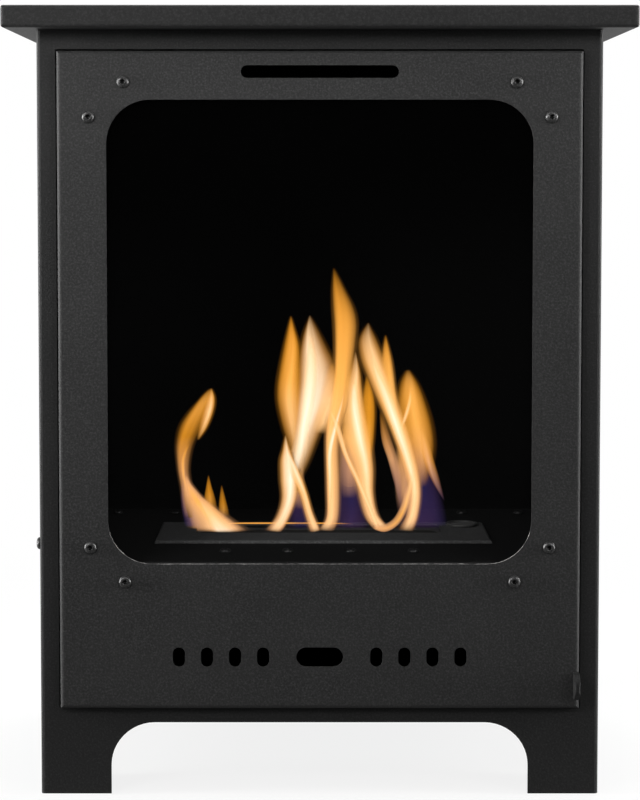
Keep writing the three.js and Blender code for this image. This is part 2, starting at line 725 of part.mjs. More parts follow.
/** Arm cut from plate: an eye round the pivot, a leg to the back and a foot to the side panel. */
function hingeBracket({ armLow, way }) {
  const rear = pivotY + armReach;
  const wallFace = -wall + gap;
  const leg = box(pivotX - armLeft, pivotX + armRight, pivotY, rear, armLow, armLow + armThickness);
  const foot = box(wallFace, pivotX + armRight, rear - armFoot, rear, armLow, armLow + armThickness);
  const eye = rod('z', pivotX, pivotY, eyeRadius, armLow, armLow + armThickness);
  const plateTopZ = way > 0 ? armLow + armThickness : armLow + hingePlateHeight;
  const plateMiddle = rear - armFoot / 2;
  const wallPlate = prism(
    rectangle(
      plateMiddle - hingePlateLength / 2, plateTopZ - hingePlateHeight,
      plateMiddle + hingePlateLength / 2, plateTopZ, 3,
    ),
    'x', wallFace, wallFace + hingePlateThickness,
  );
  const hole = rod('z', pivotX, pivotY, pinDiameter / 2 + holePlay, armLow - 1, armLow + armThickness + 1);
  return cut(joined(leg, foot, eye, wallPlate), hole);
}

/** Headed pin, head at its lower end; it stops inside the thickness of the door's flange. */
function hingePin() {
  const length = armThickness + washerThickness + sheet + 3 * gap;
  const radius = pinDiameter / 2;
  const profile = [
    [0, -pinHeadHeight], [pinHeadDiameter / 2 - 0.5, -pinHeadHeight],
    [pinHeadDiameter / 2, -pinHeadHeight + 0.5], [pinHeadDiameter / 2, 0], [radius, 0],
    [radius, length - 0.5], [radius - 0.5, length], [0, length],
  ];
  return geometryOf(turned(profile, 12));
}

const pinGeometry = hingePin();
for (const end of hingeEnds) {
  piece(`hinge_bracket_${end.name}`, hingeBracket(end), powderCoat);
  const pin = piece(`hinge_pin_${end.name}`, pinGeometry, blackOxide);
  pin.position.set(pivotX, pivotY, end.armBack - end.way * gap);
  if (end.way < 0) pin.rotation.x = Math.PI;
  const ring = rod('z', pivotX, pivotY, eyeRadius, end.washerLow, end.washerLow + washerThickness);
  const bore = rod('z', pivotX, pivotY, pinDiameter / 2 + holePlay, end.washerLow - 1, end.washerLow + 3);
  piece(`hinge_washer_${end.name}`, ring.subtract(bore), plainSteel);
}

// ---- magnetic catch

const catchTop = catchBottom + catchHeight;
const magnetFront = doorRear + gap;
const catchX0 = wall - gap - catchReachIn;
const catchX1 = lapFace - gap;
const magnetX0 = catchX0 + magnetWall + gap;
const magnetZ0 = catchBottom + magnetWall + gap;
const catchScrewHeights = [catchBottom + catchScrewInset, catchTop - catchScrewInset];
const catchBlockBack = magnetFront + catchBlockDepth;
const catchFootX0 = wall - gap - catchFootThickness;
const catchFootBack = catchBlockBack + catchFootLength;
const catchScrewY = catchBlockBack + catchFootLength / 2;

function catchHousing() {
  const block = box(catchX0, catchX1, magnetFront, catchBlockBack, catchBottom, catchTop);
  const foot = box(catchFootX0, wall - gap, tabBack, catchFootBack, catchBottom, catchTop);
  const pocket = box(
    magnetX0 - gap, magnetX0 + magnetWidth + gap, magnetFront - 1, magnetFront + magnetDepth + gap,
    magnetZ0 - gap, catchTop - magnetWall,
  );
  const holes = catchScrewHeights.map(
    (z) => rod('x', catchScrewY, z, smallShankHole, catchFootX0 - 1, wall + 1, 12),
  );
  return cut(joined(block, foot), pocket, ...holes);
}
piece('catch_housing', catchHousing(), darkPlastic);

const magnetZ1 = catchTop - magnetWall - gap;
piece(
  'catch_magnet',
  box(magnetX0, magnetX0 + magnetWidth, magnetFront, magnetFront + magnetDepth, magnetZ0, magnetZ1),
  ferrite,
);

/** Angle in the door's tray that the magnet pulls on. */
function catchKeeper() {
  const x1 = doorHalf - sheet - gap;
  const leg = [x1 - thinSheet / 2, doorInside + bendInside + gap];
  const corner = [x1 - thinSheet / 2, doorRear - thinSheet / 2];
  const lip = [magnetX0, doorRear - thinSheet / 2];
  return prism(foldedSection([leg, corner, lip], thinSheet), 'z', magnetZ0, magnetZ1);
}
piece('catch_keeper', catchKeeper(), plainSteel);

const catchScrewLength = catchFootThickness;
const catchScrew = buttonScrew(
  smallScrewDiameter, smallScrewHeadDiameter, smallScrewHeadHeight, catchScrewLength, 10, 2,
);
['lower', 'upper'].forEach((name, n) => {
  placeScrew(`catch_screw_${name}`, catchScrew, '-x', catchFootX0 - gap, catchScrewY, catchScrewHeights[n]);
});

// ---- screws of the cabinet

const bodyScrew = buttonScrew(screwDiameter, screwHeadDiameter, screwHeadHeight, 8, 10, 2);
placeScrew('side_screw_left', bodyScrew, '-x', -right - gap, sideScrewY, sideScrewHeight);

const levels = ['lower', 'middle', 'upper'];
for (const side of signs) {
  const hand = side > 0 ? 'right' : 'left';
  backScrewHeights.forEach((z, n) => {
    placeScrew(`back_screw_${hand}_${levels[n]}`, bodyScrew, '+y', side * backScrewX, back + gap + sheet + gap, z);
  });
  topScrewPlaces.forEach((y, n) => {
    const z = bodyTop - sheet - gap;
    placeScrew(`top_screw_${hand}_${n ? 'rear' : 'front'}`, bodyScrew, '-z', side * topScrewX, y, z);
  });
}
frontFloorScrews.forEach(([x, y], n) => {
  placeScrew(`floor_screw_front_${n + 1}`, bodyScrew, '+z', x, y, floorTop + gap);
});
rearFloorScrews.forEach(([x, y], n) => {
  placeScrew(`floor_screw_rear_${n + 1}`, bodyScrew, '+z', x, y, floorTop + gap);
});

// ---- burner

function burnerPlate() {
  const shell = tray(
    [burnerX0, burnerY0, floorTop + gap], [burnerX1, burnerY1, plateTop], 'z', -1, thinSheet,
  );
  const mouth = prism(
    rectangle(mouthX0, mouthY0, mouthX1, mouthY1, mouthRadius), 'z', floorTop - 1, plateTop + 1,
  );
  const fillerHole = rod('z', fillerX, fillerY, skirtDiameter / 2 + holePlay, floorTop - 1, plateTop + 1, 20);
  return cut(shell, mouth, fillerHole);
}
piece('burner_plate', burnerPlate(), powderCoat);

function burnerTank() {
  const outline = (inset, radius) => rectangle(
    burnerX0 + inset, burnerY0 + inset, burnerX1 - inset, burnerY1 - inset, radius,
  );
  const outer = prism(outline(tankInset, tankRadius), 'z', tankTop - tankDepth, tankTop);
  const inner = prism(
    outline(tankInset + thinSheet, tankRadius - thinSheet), 'z', tankTop - tankDepth + thinSheet, tankTop + 1,
  );
  return outer.subtract(inner);
}
piece('burner_tank', burnerTank(), plainSteel);

function woolBlock() {
  const inset = tankInset + thinSheet + gap;
  const [x0, x1] = [mouthX0 - woolBeyond, mouthX1 + woolBeyond];
  const [y0, y1] = [burnerY0 + inset, burnerY1 - inset];
  const [z0, z1] = [tankTop - tankDepth + thinSheet + gap, plateTop - woolBelow];
  const r = woolRadius;
  return prism(rectangle(x0, z0, x1, z1, r), 'y', y0, y1)
    .intersect(prism(rectangle(y0, z0, y1, z1, r), 'x', x0, x1))
    .intersect(prism(rectangle(x0, y0, x1, y1, tankRadius), 'z', z0, z1));
}
piece('ceramic_wool', woolBlock(), wool);

/** Cap of the filler hole: a disc with a raised rim and a grip bar, on a skirt that stands in the hole. */
function fillerCap() {
  const rim = capDiameter / 2;
  const dish = rim - capRim;
  const skirt = skirtDiameter / 2;
  const body = turned([
    [0, 0], [skirt - skirtWall, 0], [skirt - skirtWall, -skirtDepth], [skirt, -skirtDepth], [skirt, 0], [rim, 0],
    [rim, capHeight - 0.5], [rim - 0.5, capHeight], [dish + 0.5, capHeight], [dish, capFloor], [0, capFloor],
  ], 20);
  const bar = box(-dish - 0.5, dish + 0.5, -capBar / 2, capBar / 2, capFloor / 2, capHeight - 0.2);
  return body.add(bar);
}
piece('filler_cap', fillerCap(), plainSteel).position.set(fillerX, fillerY, plateTop + gap);

export default fireplace;
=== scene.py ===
"""Looks of a free-standing bioethanol fireplace: black powder-coated sheet steel, a glazed door
hinged on the left and an open burner with its fire lit. Metres; +Z is up, +X right, and the door
faces -Y.

New pieces are closed surfaces over a grid of two parameters, worked out as whole arrays.
"""

import json
import math
from collections import namedtuple

import bpy
import numpy as np
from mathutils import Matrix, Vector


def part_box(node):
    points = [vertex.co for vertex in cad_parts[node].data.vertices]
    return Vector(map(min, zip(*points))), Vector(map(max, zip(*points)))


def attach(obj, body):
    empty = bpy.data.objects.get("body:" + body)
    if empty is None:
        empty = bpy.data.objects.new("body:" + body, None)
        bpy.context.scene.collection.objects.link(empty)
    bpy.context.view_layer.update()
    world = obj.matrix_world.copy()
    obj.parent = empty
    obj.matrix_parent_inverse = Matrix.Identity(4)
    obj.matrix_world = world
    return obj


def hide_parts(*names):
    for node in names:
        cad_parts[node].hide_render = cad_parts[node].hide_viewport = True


TAU = 2 * math.pi
WHITE = (1.0, 1.0, 1.0)

# Boxes, as two opposite corners: the firebox's inside, whose coat is painted in shade, and the
# cut edge at the foot of the window, where the door's coat has a painted highlight.
FIREBOX = (-0.2148, -0.1285, 0.1785), (0.2148, 0.1555, 0.5728)
WINDOW_FOOT = (-0.17, -0.1455, 0.175), (0.17, -0.1405, 0.26)

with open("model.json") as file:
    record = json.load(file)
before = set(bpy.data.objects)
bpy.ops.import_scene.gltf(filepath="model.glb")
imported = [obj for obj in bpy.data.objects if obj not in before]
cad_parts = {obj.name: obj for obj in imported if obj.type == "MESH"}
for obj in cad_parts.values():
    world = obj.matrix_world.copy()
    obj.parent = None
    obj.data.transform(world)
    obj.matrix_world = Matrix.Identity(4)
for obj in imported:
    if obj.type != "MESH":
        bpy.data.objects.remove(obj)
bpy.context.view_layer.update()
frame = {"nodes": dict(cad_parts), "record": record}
nodes = frame["nodes"]


# ---------------------------------------------------------------- nodes of a finish


class Nodes:
    """Short calls for the nodes of a tree. A value is a number, a colour or a node's socket."""

    def __init__(self, tree):
        self.tree = tree

    def node(self, kind, **inputs):
        made = self.tree.nodes.new(kind)
        for name, value in inputs.items():
            self.feed(made.inputs[name.replace("_", " ")], value)
        return made

    def feed(self, socket, value):
        if isinstance(value, bpy.types.NodeSocket):
            self.tree.links.new(value, socket)
        else:
            socket.default_value = value

    def maths(self, operation, *values):
        made = self.node("ShaderNodeMath")
        made.operation = operation
        for socket, value in zip(made.inputs, values):
            self.feed(socket, value)
        return made.outputs[0]

    def ranged(self, value, low, high, at_low, at_high):
        """Level that goes from at_low to at_high as a value goes from low to high."""
        made = self.node("ShaderNodeMapRange", Value=value, From_Min=low, From_Max=high,
                         To_Min=at_low, To_Max=at_high)
        return made.outputs["Result"]

    def level(self, amount, first, second):
        """Number between the first and the second, by amount."""
        made = self.node("ShaderNodeMix")
        for index, value in ((0, amount), (2, first), (3, second)):
            self.feed(made.inputs[index], value)
        return made.outputs[0]

    def part(self, vector, axis):
        return self.node("ShaderNodeSeparateXYZ", Vector=vector).outputs[axis]


class Finish(Nodes):
    """A material on Object coordinates."""

    def __init__(self, name):
        self.material = bpy.data.materials.new(name)
        self.material.use_nodes = True
        super().__init__(self.material.node_tree)
        self.shader = self.tree.nodes["Principled BSDF"]
        self.output = self.tree.nodes["Material Output"]
        coordinates = self.node("ShaderNodeTexCoord")
        self.place, self.facing = coordinates.outputs["Object"], coordinates.outputs["Normal"]

    def set(self, **inputs):
        for name, value in inputs.items():
            self.feed(self.shader.inputs[name.replace("_", " ")], value)

    def stretched(self, x=1, y=1, z=1):
        """Object coordinates scaled along each axis."""
        made = self.node("ShaderNodeMapping", Vector=self.place, Scale=(x, y, z))
        return made.outputs["Vector"]

    def noise(self, scale, detail=2.0, roughness=0.5, place=None):
        made = self.node("ShaderNodeTexNoise", Vector=place or self.place, Scale=scale,
                         Detail=detail, Roughness=roughness)
        return made.outputs["Fac"]

    def attribute(self, name):
        made = self.node("ShaderNodeAttribute")
        made.attribute_name = name
        return made

    def ramp(self, value, *stops):
        """Colour or level along a value, from (place, colour) stops; a bare number is a grey."""
        made = self.node("ShaderNodeValToRGB", Fac=value)
        band = made.color_ramp
        while len(band.elements) < len(stops):
            band.elements.new(0.5)
        for element, (place, colour) in zip(band.elements, stops):
            element.position = place
            red_green_blue = colour if isinstance(colour, tuple) else (colour,) * 3
            element.color = (*red_green_blue, 1)
        return made.outputs["Color"]

    def mixed(self, amount, first, second):
        """Colour between the first and the second, by amount."""
        made = self.node("ShaderNodeMix")
        made.data_type = "RGBA"
        for index, value in ((0, amount), (6, first), (7, second)):
            plain = isinstance(value, (float, bpy.types.NodeSocket))
            self.feed(made.inputs[index], value if plain else (*value, 1))
        return made.outputs[2]

    def inside(self, low, high):
        """1 within a box of the object's space and 0 outside it."""
        place = self.node("ShaderNodeSeparateXYZ", Vector=self.place)
        within = 1.0
        for axis, least, most in zip("XYZ", low, high):
            middle, half = (least + most) / 2, (most - least) / 2
            band = self.maths("COMPARE", place.outputs[axis], middle, half)
            within = self.maths("MULTIPLY", within, band)
        return within

    def bump(self, height, strength, distance, under=None):
        made = self.node("ShaderNodeBump", Height=height, Strength=strength, Distance=distance)
        if under is not None:
            self.feed(made.inputs["Normal"], under)
        return made.outputs["Normal"]

    def blend(self, share, first, second):
        """Shader between two shader nodes, by share."""
        made = self.node("ShaderNodeMixShader", Fac=share)
        for index, shader in ((1, first), (2, second)):
            self.tree.links.new(shader.outputs[0], made.inputs[index])
        return made

    def ends_in(self, shader):
        """Takes another shader node as the surface, and gives the material."""
        self.tree.links.new(shader.outputs[0], self.output.inputs["Surface"])
        self.tree.nodes.remove(self.shader)
        return self.material


# ---------------------------------------------------------------- finishes


def powder_coat(name, tone, firebox_shade_share=1.0, window_foot_highlight=False):
    """Fine-textured black coat: grains about a millimetre across over a slow orange peel, and
    painted shade on every face that looks into the firebox: near black, its reflections dimmed.
    Tone makes the whole coat lighter or darker. Where asked, a painted highlight of pale grey
    patches lies on the upward cut edge at the window's foot."""
    coat = Finish(name)
    grain = coat.noise(scale=640, detail=3, roughness=0.65)
    peel = coat.noise(scale=160)
    patches = coat.noise(scale=14)
    pit, flat, crest = 0.017 * tone, 0.029 * tone, 0.055 * tone
    speckle = coat.ramp(grain, (0.35, pit), (0.52, flat), (0.66, crest))
    cloudy = coat.ramp(patches, (0.3, 0.022 * tone), (0.7, 0.038 * tone))
    coat_colour = coat.mixed(0.25, speckle, cloudy)
    # painted highlight: upward faces at the window's foot go pale grey in patches
    if window_foot_highlight:
        upward = coat.maths("GREATER_THAN", coat.part(coat.facing, "Z"), 0.3)
        edge = coat.maths("MULTIPLY", upward, coat.inside(*WINDOW_FOOT))
        blotches = coat.noise(scale=180, detail=3, roughness=0.7)
        highlight_patches = coat.ramp(blotches, (0.40, 0.15), (0.60, 1.0))
        coat_colour = coat.mixed(coat.maths("MULTIPLY", edge, highlight_patches), coat_colour, (0.42, 0.41, 0.40))
    # painted shade: faces inside the firebox go near black, their reflections dimmed, by share
    firebox_shade = coat.maths("MULTIPLY", coat.inside(*FIREBOX), firebox_shade_share)
    orange_peel = coat.bump(peel, strength=0.25, distance=0.0005)
    coat.set(
        Base_Color=coat.mixed(firebox_shade, coat_colour, coat.ramp(grain, (0.3, 0.002), (0.7, 0.006))),
        Roughness=coat.mixed(firebox_shade, coat.ramp(grain, (0.3, 0.50), (0.7, 0.66)), (0.8, 0.8, 0.8)),
        Specular_IOR_Level=0.25,
        Specular_Tint=coat.mixed(firebox_shade, WHITE, (0.15, 0.15, 0.15)),
        Normal=coat.bump(grain, strength=0.45, distance=0.0003, under=orange_peel),
    )
    return coat.material


def black_oxide():
    """Oiled black steel with fine turning marks, worn on its crown; its socket is painted near
    black as shade, where the piece's own attribute says."""
    steel = Finish("black_oxide_steel")
    blotches = steel.noise(scale=900, detail=3, roughness=0.7)
    # painted shade: the socket goes near black where its attribute says
    socket_shade = steel.attribute("socket").outputs["Fac"]
    worn = steel.ramp(blotches, (0.35, (0.036, 0.036, 0.037)), (0.72, (0.110, 0.109, 0.107)))
    steel.set(
        Base_Color=steel.mixed(socket_shade, worn, (0.002, 0.002, 0.002)),
        Metallic=0.7,
        Roughness=steel.ramp(blotches, (0.3, 0.30), (0.7, 0.44)),
        Normal=steel.bump(steel.noise(scale=2400), strength=0.15, distance=0.0001),
    )
    return steel.material


def door_glass():
    """Clear ceramic glass with a weak sheen and a sooted haze that thickens towards its foot."""
    pane = Finish("ceramic_glass")
    haze = pane.ranged(pane.part(pane.place, "Z"), 0.17, 0.30, at_low=0.06, at_high=0.02)
    cloud = pane.ramp(pane.noise(scale=30, detail=4, roughness=0.6), (0.3, 0.6), (0.7, 1.0))
    clear = pane.node("ShaderNodeBsdfTransparent", Color=(0.95, 0.95, 0.95, 1))
    film = pane.node("ShaderNodeBsdfDiffuse", Color=(0.02, 0.02, 0.02, 1))
    sheen = pane.node("ShaderNodeBsdfAnisotropic", Color=(0.9, 0.9, 0.9, 1), Roughness=0.03)
    hazed = pane.blend(pane.maths("MULTIPLY", haze, cloud), clear, film)
    gloss = pane.node("ShaderNodeFresnel", IOR=1.1).outputs[0]
    return pane.ends_in(pane.blend(gloss, hazed, sheen))


def zinc_plate():
    """Bright zinc on rolled strip, slightly streaked."""
    zinc = Finish("zinc_plated_steel")
    streak = zinc.noise(scale=60, detail=3, roughness=0.6, place=zinc.stretched(1, 8, 14))
    zinc.set(
        Base_Color=zinc.ramp(streak, (0.3, (0.40, 0.40, 0.39)), (0.7, (0.58, 0.57, 0.53))),
        Metallic=1.0,
        Roughness=zinc.ramp(streak, (0.3, 0.3), (0.7, 0.48)),
    )
    return zinc.material


def brushed_stainless():
    """Thick stainless sheet brushed along X, gone dull and brownish in patches from the heat."""
    steel = Finish("heat_dulled_stainless")
    lines = steel.noise(scale=420, detail=4, roughness=0.7, place=steel.stretched(x=0.05))
    heat = steel.ramp(steel.noise(scale=22), (0.45, 0.0), (0.75, 0.5))
    dull = steel.ramp(lines, (0.3, (0.075, 0.075, 0.075)), (0.7, (0.130, 0.129, 0.127)))
    steel.set(
        Base_Color=steel.mixed(heat, dull, (0.085, 0.075, 0.066)),
        Metallic=0.15,
        Roughness=steel.ramp(lines, (0.3, 0.34), (0.7, 0.5)),
        Normal=steel.bump(lines, strength=0.12, distance=0.0001),
    )
    return steel.material


def fibre_wool():
    """Matted ceramic fibre: short crossing strands, scorched in patches and charred on top, where
    it burns."""
    wool = Finish("ceramic_fibre_wool")
    lengthways, crossways = (
        wool.noise(scale=520, detail=4, roughness=0.75, place=wool.stretched(*way))
        for way in ((0.25, 1, 1), (1, 0.25, 1))
    )
    strands = wool.mixed(wool.noise(scale=60), lengthways, crossways)
    pale = wool.ramp(strands, (0.3, (0.52, 0.50, 0.46)), (0.7, (0.80, 0.78, 0.73)))
    top = wool.ranged(wool.part(wool.place, "Z"), 0.160, 0.176, at_low=0.0, at_high=1.0)
    charred = wool.ramp(strands, (0.3, (0.012, 0.011, 0.010)), (0.7, (0.045, 0.040, 0.036)))
    patches = wool.ramp(wool.noise(scale=45, detail=3), (0.5, 0.0), (0.72, 0.55))
    scorched = wool.mixed(patches, pale, (0.16, 0.12, 0.09))
    wool.set(
        Base_Color=wool.mixed(top, scorched, charred),
        Roughness=0.95,
        Normal=wool.bump(strands, strength=0.8, distance=0.0012),
    )
    return wool.material


def glass_tape():
    """Woven glass-fibre tape: its two thread directions follow the piece's own map, run and
    width."""
    tape = Finish("woven_glass_tape")
    threads = tape.node("ShaderNodeUVMap").outputs["UV"]
    directions = []
    for direction in "XY":
        wave = tape.node("ShaderNodeTexWave", Vector=threads, Scale=1.0, Distortion=0.6)
        wave.bands_direction = direction
        directions.append(wave.outputs["Color"])
    weave = tape.mixed(0.5, *directions)
    tape.set(
        Base_Color=tape.ramp(weave, (0.2, (0.028, 0.028, 0.027)), (0.8, (0.085, 0.084, 0.08))),
        Roughness=0.92,
        Normal=tape.bump(weave, strength=0.6, distance=0.0004),
    )
    return tape.material


def catch_plastic():
    """Moulded black plastic with a fine spark texture."""
    plastic = Finish("moulded_black_plastic")
    spark = plastic.noise(scale=1500)
    plastic.set(
        Base_Color=plastic.ramp(spark, (0.3, 0.014), (0.7, 0.026)),
        Roughness=plastic.ramp(spark, (0.3, 0.45), (0.7, 0.6)),
        Normal=plastic.bump(spark, strength=0.2, distance=0.0002),
    )
    return plastic.material


def sintered_ferrite():
    """Ground grey-black ferrite with small pores."""
    magnet = Finish("sintered_ferrite")
    pores = magnet.noise(scale=1100, detail=4, roughness=0.7)
    magnet.set(
        Base_Color=magnet.ramp(pores, (0.32, (0.02, 0.02, 0.022)), (0.5, (0.085, 0.085, 0.09))),
        Metallic=0.2,
        Roughness=0.5,
        Normal=magnet.bump(pores, strength=0.3, distance=0.0002),
    )
    return magnet.material


def burning_vapour():
    """Fire: the piece's own colours glow, and their alpha says how much they hide."""
    fire = Finish("burning_vapour")
    tint = fire.attribute("glow")
    light = fire.node("ShaderNodeEmission", Color=tint.outputs["Color"], Strength=1.5)
    clear = fire.node("ShaderNodeBsdfTransparent")
    return fire.ends_in(fire.blend(tint.outputs["Alpha"], clear, light))


finishes = {
    "powder_coat": powder_coat("fine_textured_black_coat", 0.56),
    "black_screw": black_oxide(),
    "door_glass": door_glass(),
    "gasket": glass_tape(),
    "zinc_steel": zinc_plate(),
    "burner_steel": brushed_stainless(),
    "ceramic_wool": fibre_wool(),
    "catch_plastic": catch_plastic(),
    "ferrite": sintered_ferrite(),
}
slot_of = {part["node"]: part["material_slot"] for part in frame["record"]["subparts"]}
own_coats = {  # lighter coats than the cabinet's; the burner plate's is painted firelight
    "door_panel": powder_coat("black_coat_of_door", 0.98, window_foot_highlight=True),
    "firebox_floor": powder_coat("black_coat_of_firebox_floor", 0.85, firebox_shade_share=0.55),
    # The burner plate's tone of 3.6 is painted light from its fire, which lights nothing.
    "burner_plate": powder_coat("burner_coat_painted_firelit", 3.6, firebox_shade_share=0.0),
}
for name, part in nodes.items():
    part.data.materials.clear()
    part.data.materials.append(own_coats.get(name, finishes[slot_of[name]]))


# ---------------------------------------------------------------- surfaces


def circle(count):
    """Angles evenly round a circle."""
    return np.arange(count) * TAU / count


def sheet_of_quads(rows, columns, around_rows=False):
    """Corner numbers of the quads of a grid. Its last column joins its first one, and its rows too
    where asked."""
    r, c = np.arange(rows if around_rows else rows - 1), np.arange(columns)
    r, c = np.meshgrid(r, c, indexing="ij")
    r1, c1 = (r + 1) % rows, (c + 1) % columns
    corners = (r * columns + c, r * columns + c1, r1 * columns + c1, r1 * columns + c)
    return np.stack(corners, -1).reshape(-1, 4)


def piece(name, points, quads, finish, body, stands_for=()):
    """A mesh object from an (n, 3) array and an (m, 4) array, riding on a body."""
    mesh = bpy.data.meshes.new(name)
    mesh.vertices.add(len(points))
    mesh.vertices.foreach_set("co", np.ascontiguousarray(points, dtype=np.float32).ravel())
    mesh.loops.add(quads.size)
    mesh.loops.foreach_set("vertex_index", quads.ravel().astype(np.int32))
    mesh.polygons.add(len(quads))
    mesh.polygons.foreach_set("loop_start", np.arange(0, quads.size, 4, dtype=np.int32))
    mesh.polygons.foreach_set("use_smooth", np.full(len(quads), True))
    mesh.update(calc_edges=True)
    mesh.validate()
    mesh.materials.append(finish)
    made = bpy.data.objects.new(name, mesh)
    bpy.context.scene.collection.objects.link(made)
    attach(made, body)
    if stands_for:
        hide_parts(*stands_for)
    return made


def with_poles(points, rows, columns):
    """Closes a grid of rings at its first and last ring, with quads round a point at the ring's
    middle."""
    ends = np.stack([points[:columns].mean(0), points[-columns:].mean(0)])
    c = np.arange(0, columns, 2)
    pole = np.full(len(c), len(points))
    last = (rows - 1) * columns
    first_cap = np.stack([pole, (c + 2) % columns, (c + 1) % columns, c], -1)
    last_cap = np.stack(
        [pole + 1, last + c, last + (c + 1) % columns, last + (c + 2) % columns], -1)
    quads = np.concatenate([sheet_of_quads(rows, columns), first_cap, last_cap])
    return np.concatenate([points, ends]), quads


def turned_to(direction):
    """Rows: the two directions across an axis, and the axis itself."""
    w = np.array(direction, float)
    u = np.cross([0.0, 0.0, 1.0], w) if abs(w[2]) < 0.9 else np.array([1.0, 0.0, 0.0])
    u /= np.linalg.norm(u)
    return np.stack([u, np.cross(w, u), w])


def box_of(node):
    """Lowest and highest corner of a CAD node."""
    return (np.array(corner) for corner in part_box(node))


def signed_power(value, power):
    return np.sign(value) * np.abs(value) ** power


# ---------------------------------------------------------------- screws

M5_HEAD_RISE = 0.00275

# Each group's heads face one way, and its sizes are an M5 by 8 mm screw's but for the ones given.
SCREWS = {
    "glass": ((0, -1, 0), {"length": 0.012}),
    "side": ((-1, 0, 0), {}),
    "back": ((0, 1, 0), {}),
    "top": ((0, 0, -1), {}),
    "floor": ((0, 0, 1), {}),
    "catch": ((-1, 0, 0), {"shank": 0.002, "head": 0.0038, "rise": 0.0022, "length": 0.003,
                           "across": 0.0024}),
}
SPIN_STEP, SPIN_LIMIT = 0.37, 1.05  # radians; a hexagon looks the same after 1.05


def seat_of(node, direction, rise):
    """Where a CAD screw's head sits: its box's middle, one head height below its outer face."""
    low, high = box_of(node)
    way = np.array(direction, float)
    middle = (low + high) / 2
    outer = np.where(way > 0, high, np.where(way < 0, low, middle))
    return np.where(way != 0, outer - way * rise, middle)


def button_screw(node, direction, body, turn, shank=0.0025, head=0.00475, rise=M5_HEAD_RISE,
                 length=0.008, across=0.0032):
    """Button-head screw for a CAD screw, about its axis: shank and head are radii, and across is
    the socket's width over its flats. Ring k has radius r(k) and height z(k), and its radius at
    angle a is r (1 - h + h cos 30 / cos(a mod 60 - 30)), which turns a circle into a hexagon as
    h(k) goes from 0 to 1."""
    edge = across / 2 / math.cos(math.pi / 6)
    crown = head * 0.44
    rim = rise * 0.18
    socket = [(0.0006, rise - 0.0019, 1), (edge * 0.97, rise - 0.0018, 1),
              (edge, rise - 0.0002, 1)]
    lip = [(edge * 1.07, rise - 0.00003, 0.9)]
    dome = [(crown + (head - crown) * math.sin(a), rim + (rise - rim) * math.cos(a), 0)
            for a in np.linspace(0, math.pi / 2, 9)]
    underside = [(head, rim * 0.4, 0), (head - 0.0002, 0.0, 0), (shank + 0.0003, 0.0, 0)]
    thread = [(shank, -0.0003, 0), (shank, -length + 0.0005, 0), (shank - 0.0005, -length, 0),
              (0.0004, -length, 0)]
    rings = np.array(socket + lip + dome + underside + thread)
    radius, height, hexed = rings.T
    columns = 48
    angle = circle(columns) + turn
    hexagon = math.cos(math.pi / 6) / np.cos((angle - turn) % (math.pi / 3) - math.pi / 6)
    spread = radius[:, None] * (1 + hexed[:, None] * (hexagon[None] - 1))
    tall = np.broadcast_to(height[:, None], spread.shape)
    local = np.stack([spread * np.cos(angle), spread * np.sin(angle), tall], -1)
    points = seat_of(node, direction, rise) + local.reshape(-1, 3) @ turned_to(direction)
    points, quads = with_poles(points, len(rings), columns)
    made = piece(f"button_{node}", points, quads[:, ::-1], finishes["black_screw"], body, (node,))
    # painted shade: the socket's rings and the pole in its floor are marked to go near black
    socket_shade = np.zeros(len(points), dtype=np.float32)
    socket_shade[: len(socket) * columns] = socket_shade[-2] = 1  # its socket's rings, and the pole in its floor
    made.data.attributes.new("socket", "FLOAT", "POINT").data.foreach_set("value", socket_shade)


for node in nodes:
    if "_screw_" in node:
        group = node.split("_screw_")[0]
        direction, sizes = SCREWS[group]
        spin = SPIN_STEP * sum(map(ord, node)) % SPIN_LIMIT
        button_screw(node, direction, "door" if group == "glass" else "cabinet", spin, **sizes)


# ---------------------------------------------------------------- gasket

WINDOW_HALF_WIDTH, WINDOW_BOTTOM, WINDOW_TOP, WINDOW_CORNER = 0.1635, 0.180, 0.5375, 0.0345
PANE_CORNER = 0.003
THREADS_ALONG, THREADS_ACROSS = 260, 2.2  # wave lengths in a metre of tape, and in its width


def rounded_outline(half_x, bottom, top, radius):
    """Points of a rounded rectangle, as many round each corner, back to the first one."""
    corners = [(half_x - radius, bottom + radius, -90), (half_x - radius, top - radius, 0),
               (radius - half_x, top - radius, 90), (radius - half_x, bottom + radius, 180)]
    arcs = []
    for x, z, start in corners:
        a = np.radians(start + np.linspace(0, 90, 24))
        arcs.append(np.stack([x + radius * np.cos(a), z + radius * np.sin(a)], -1))
    return np.concatenate(arcs + [arcs[0][:1]])


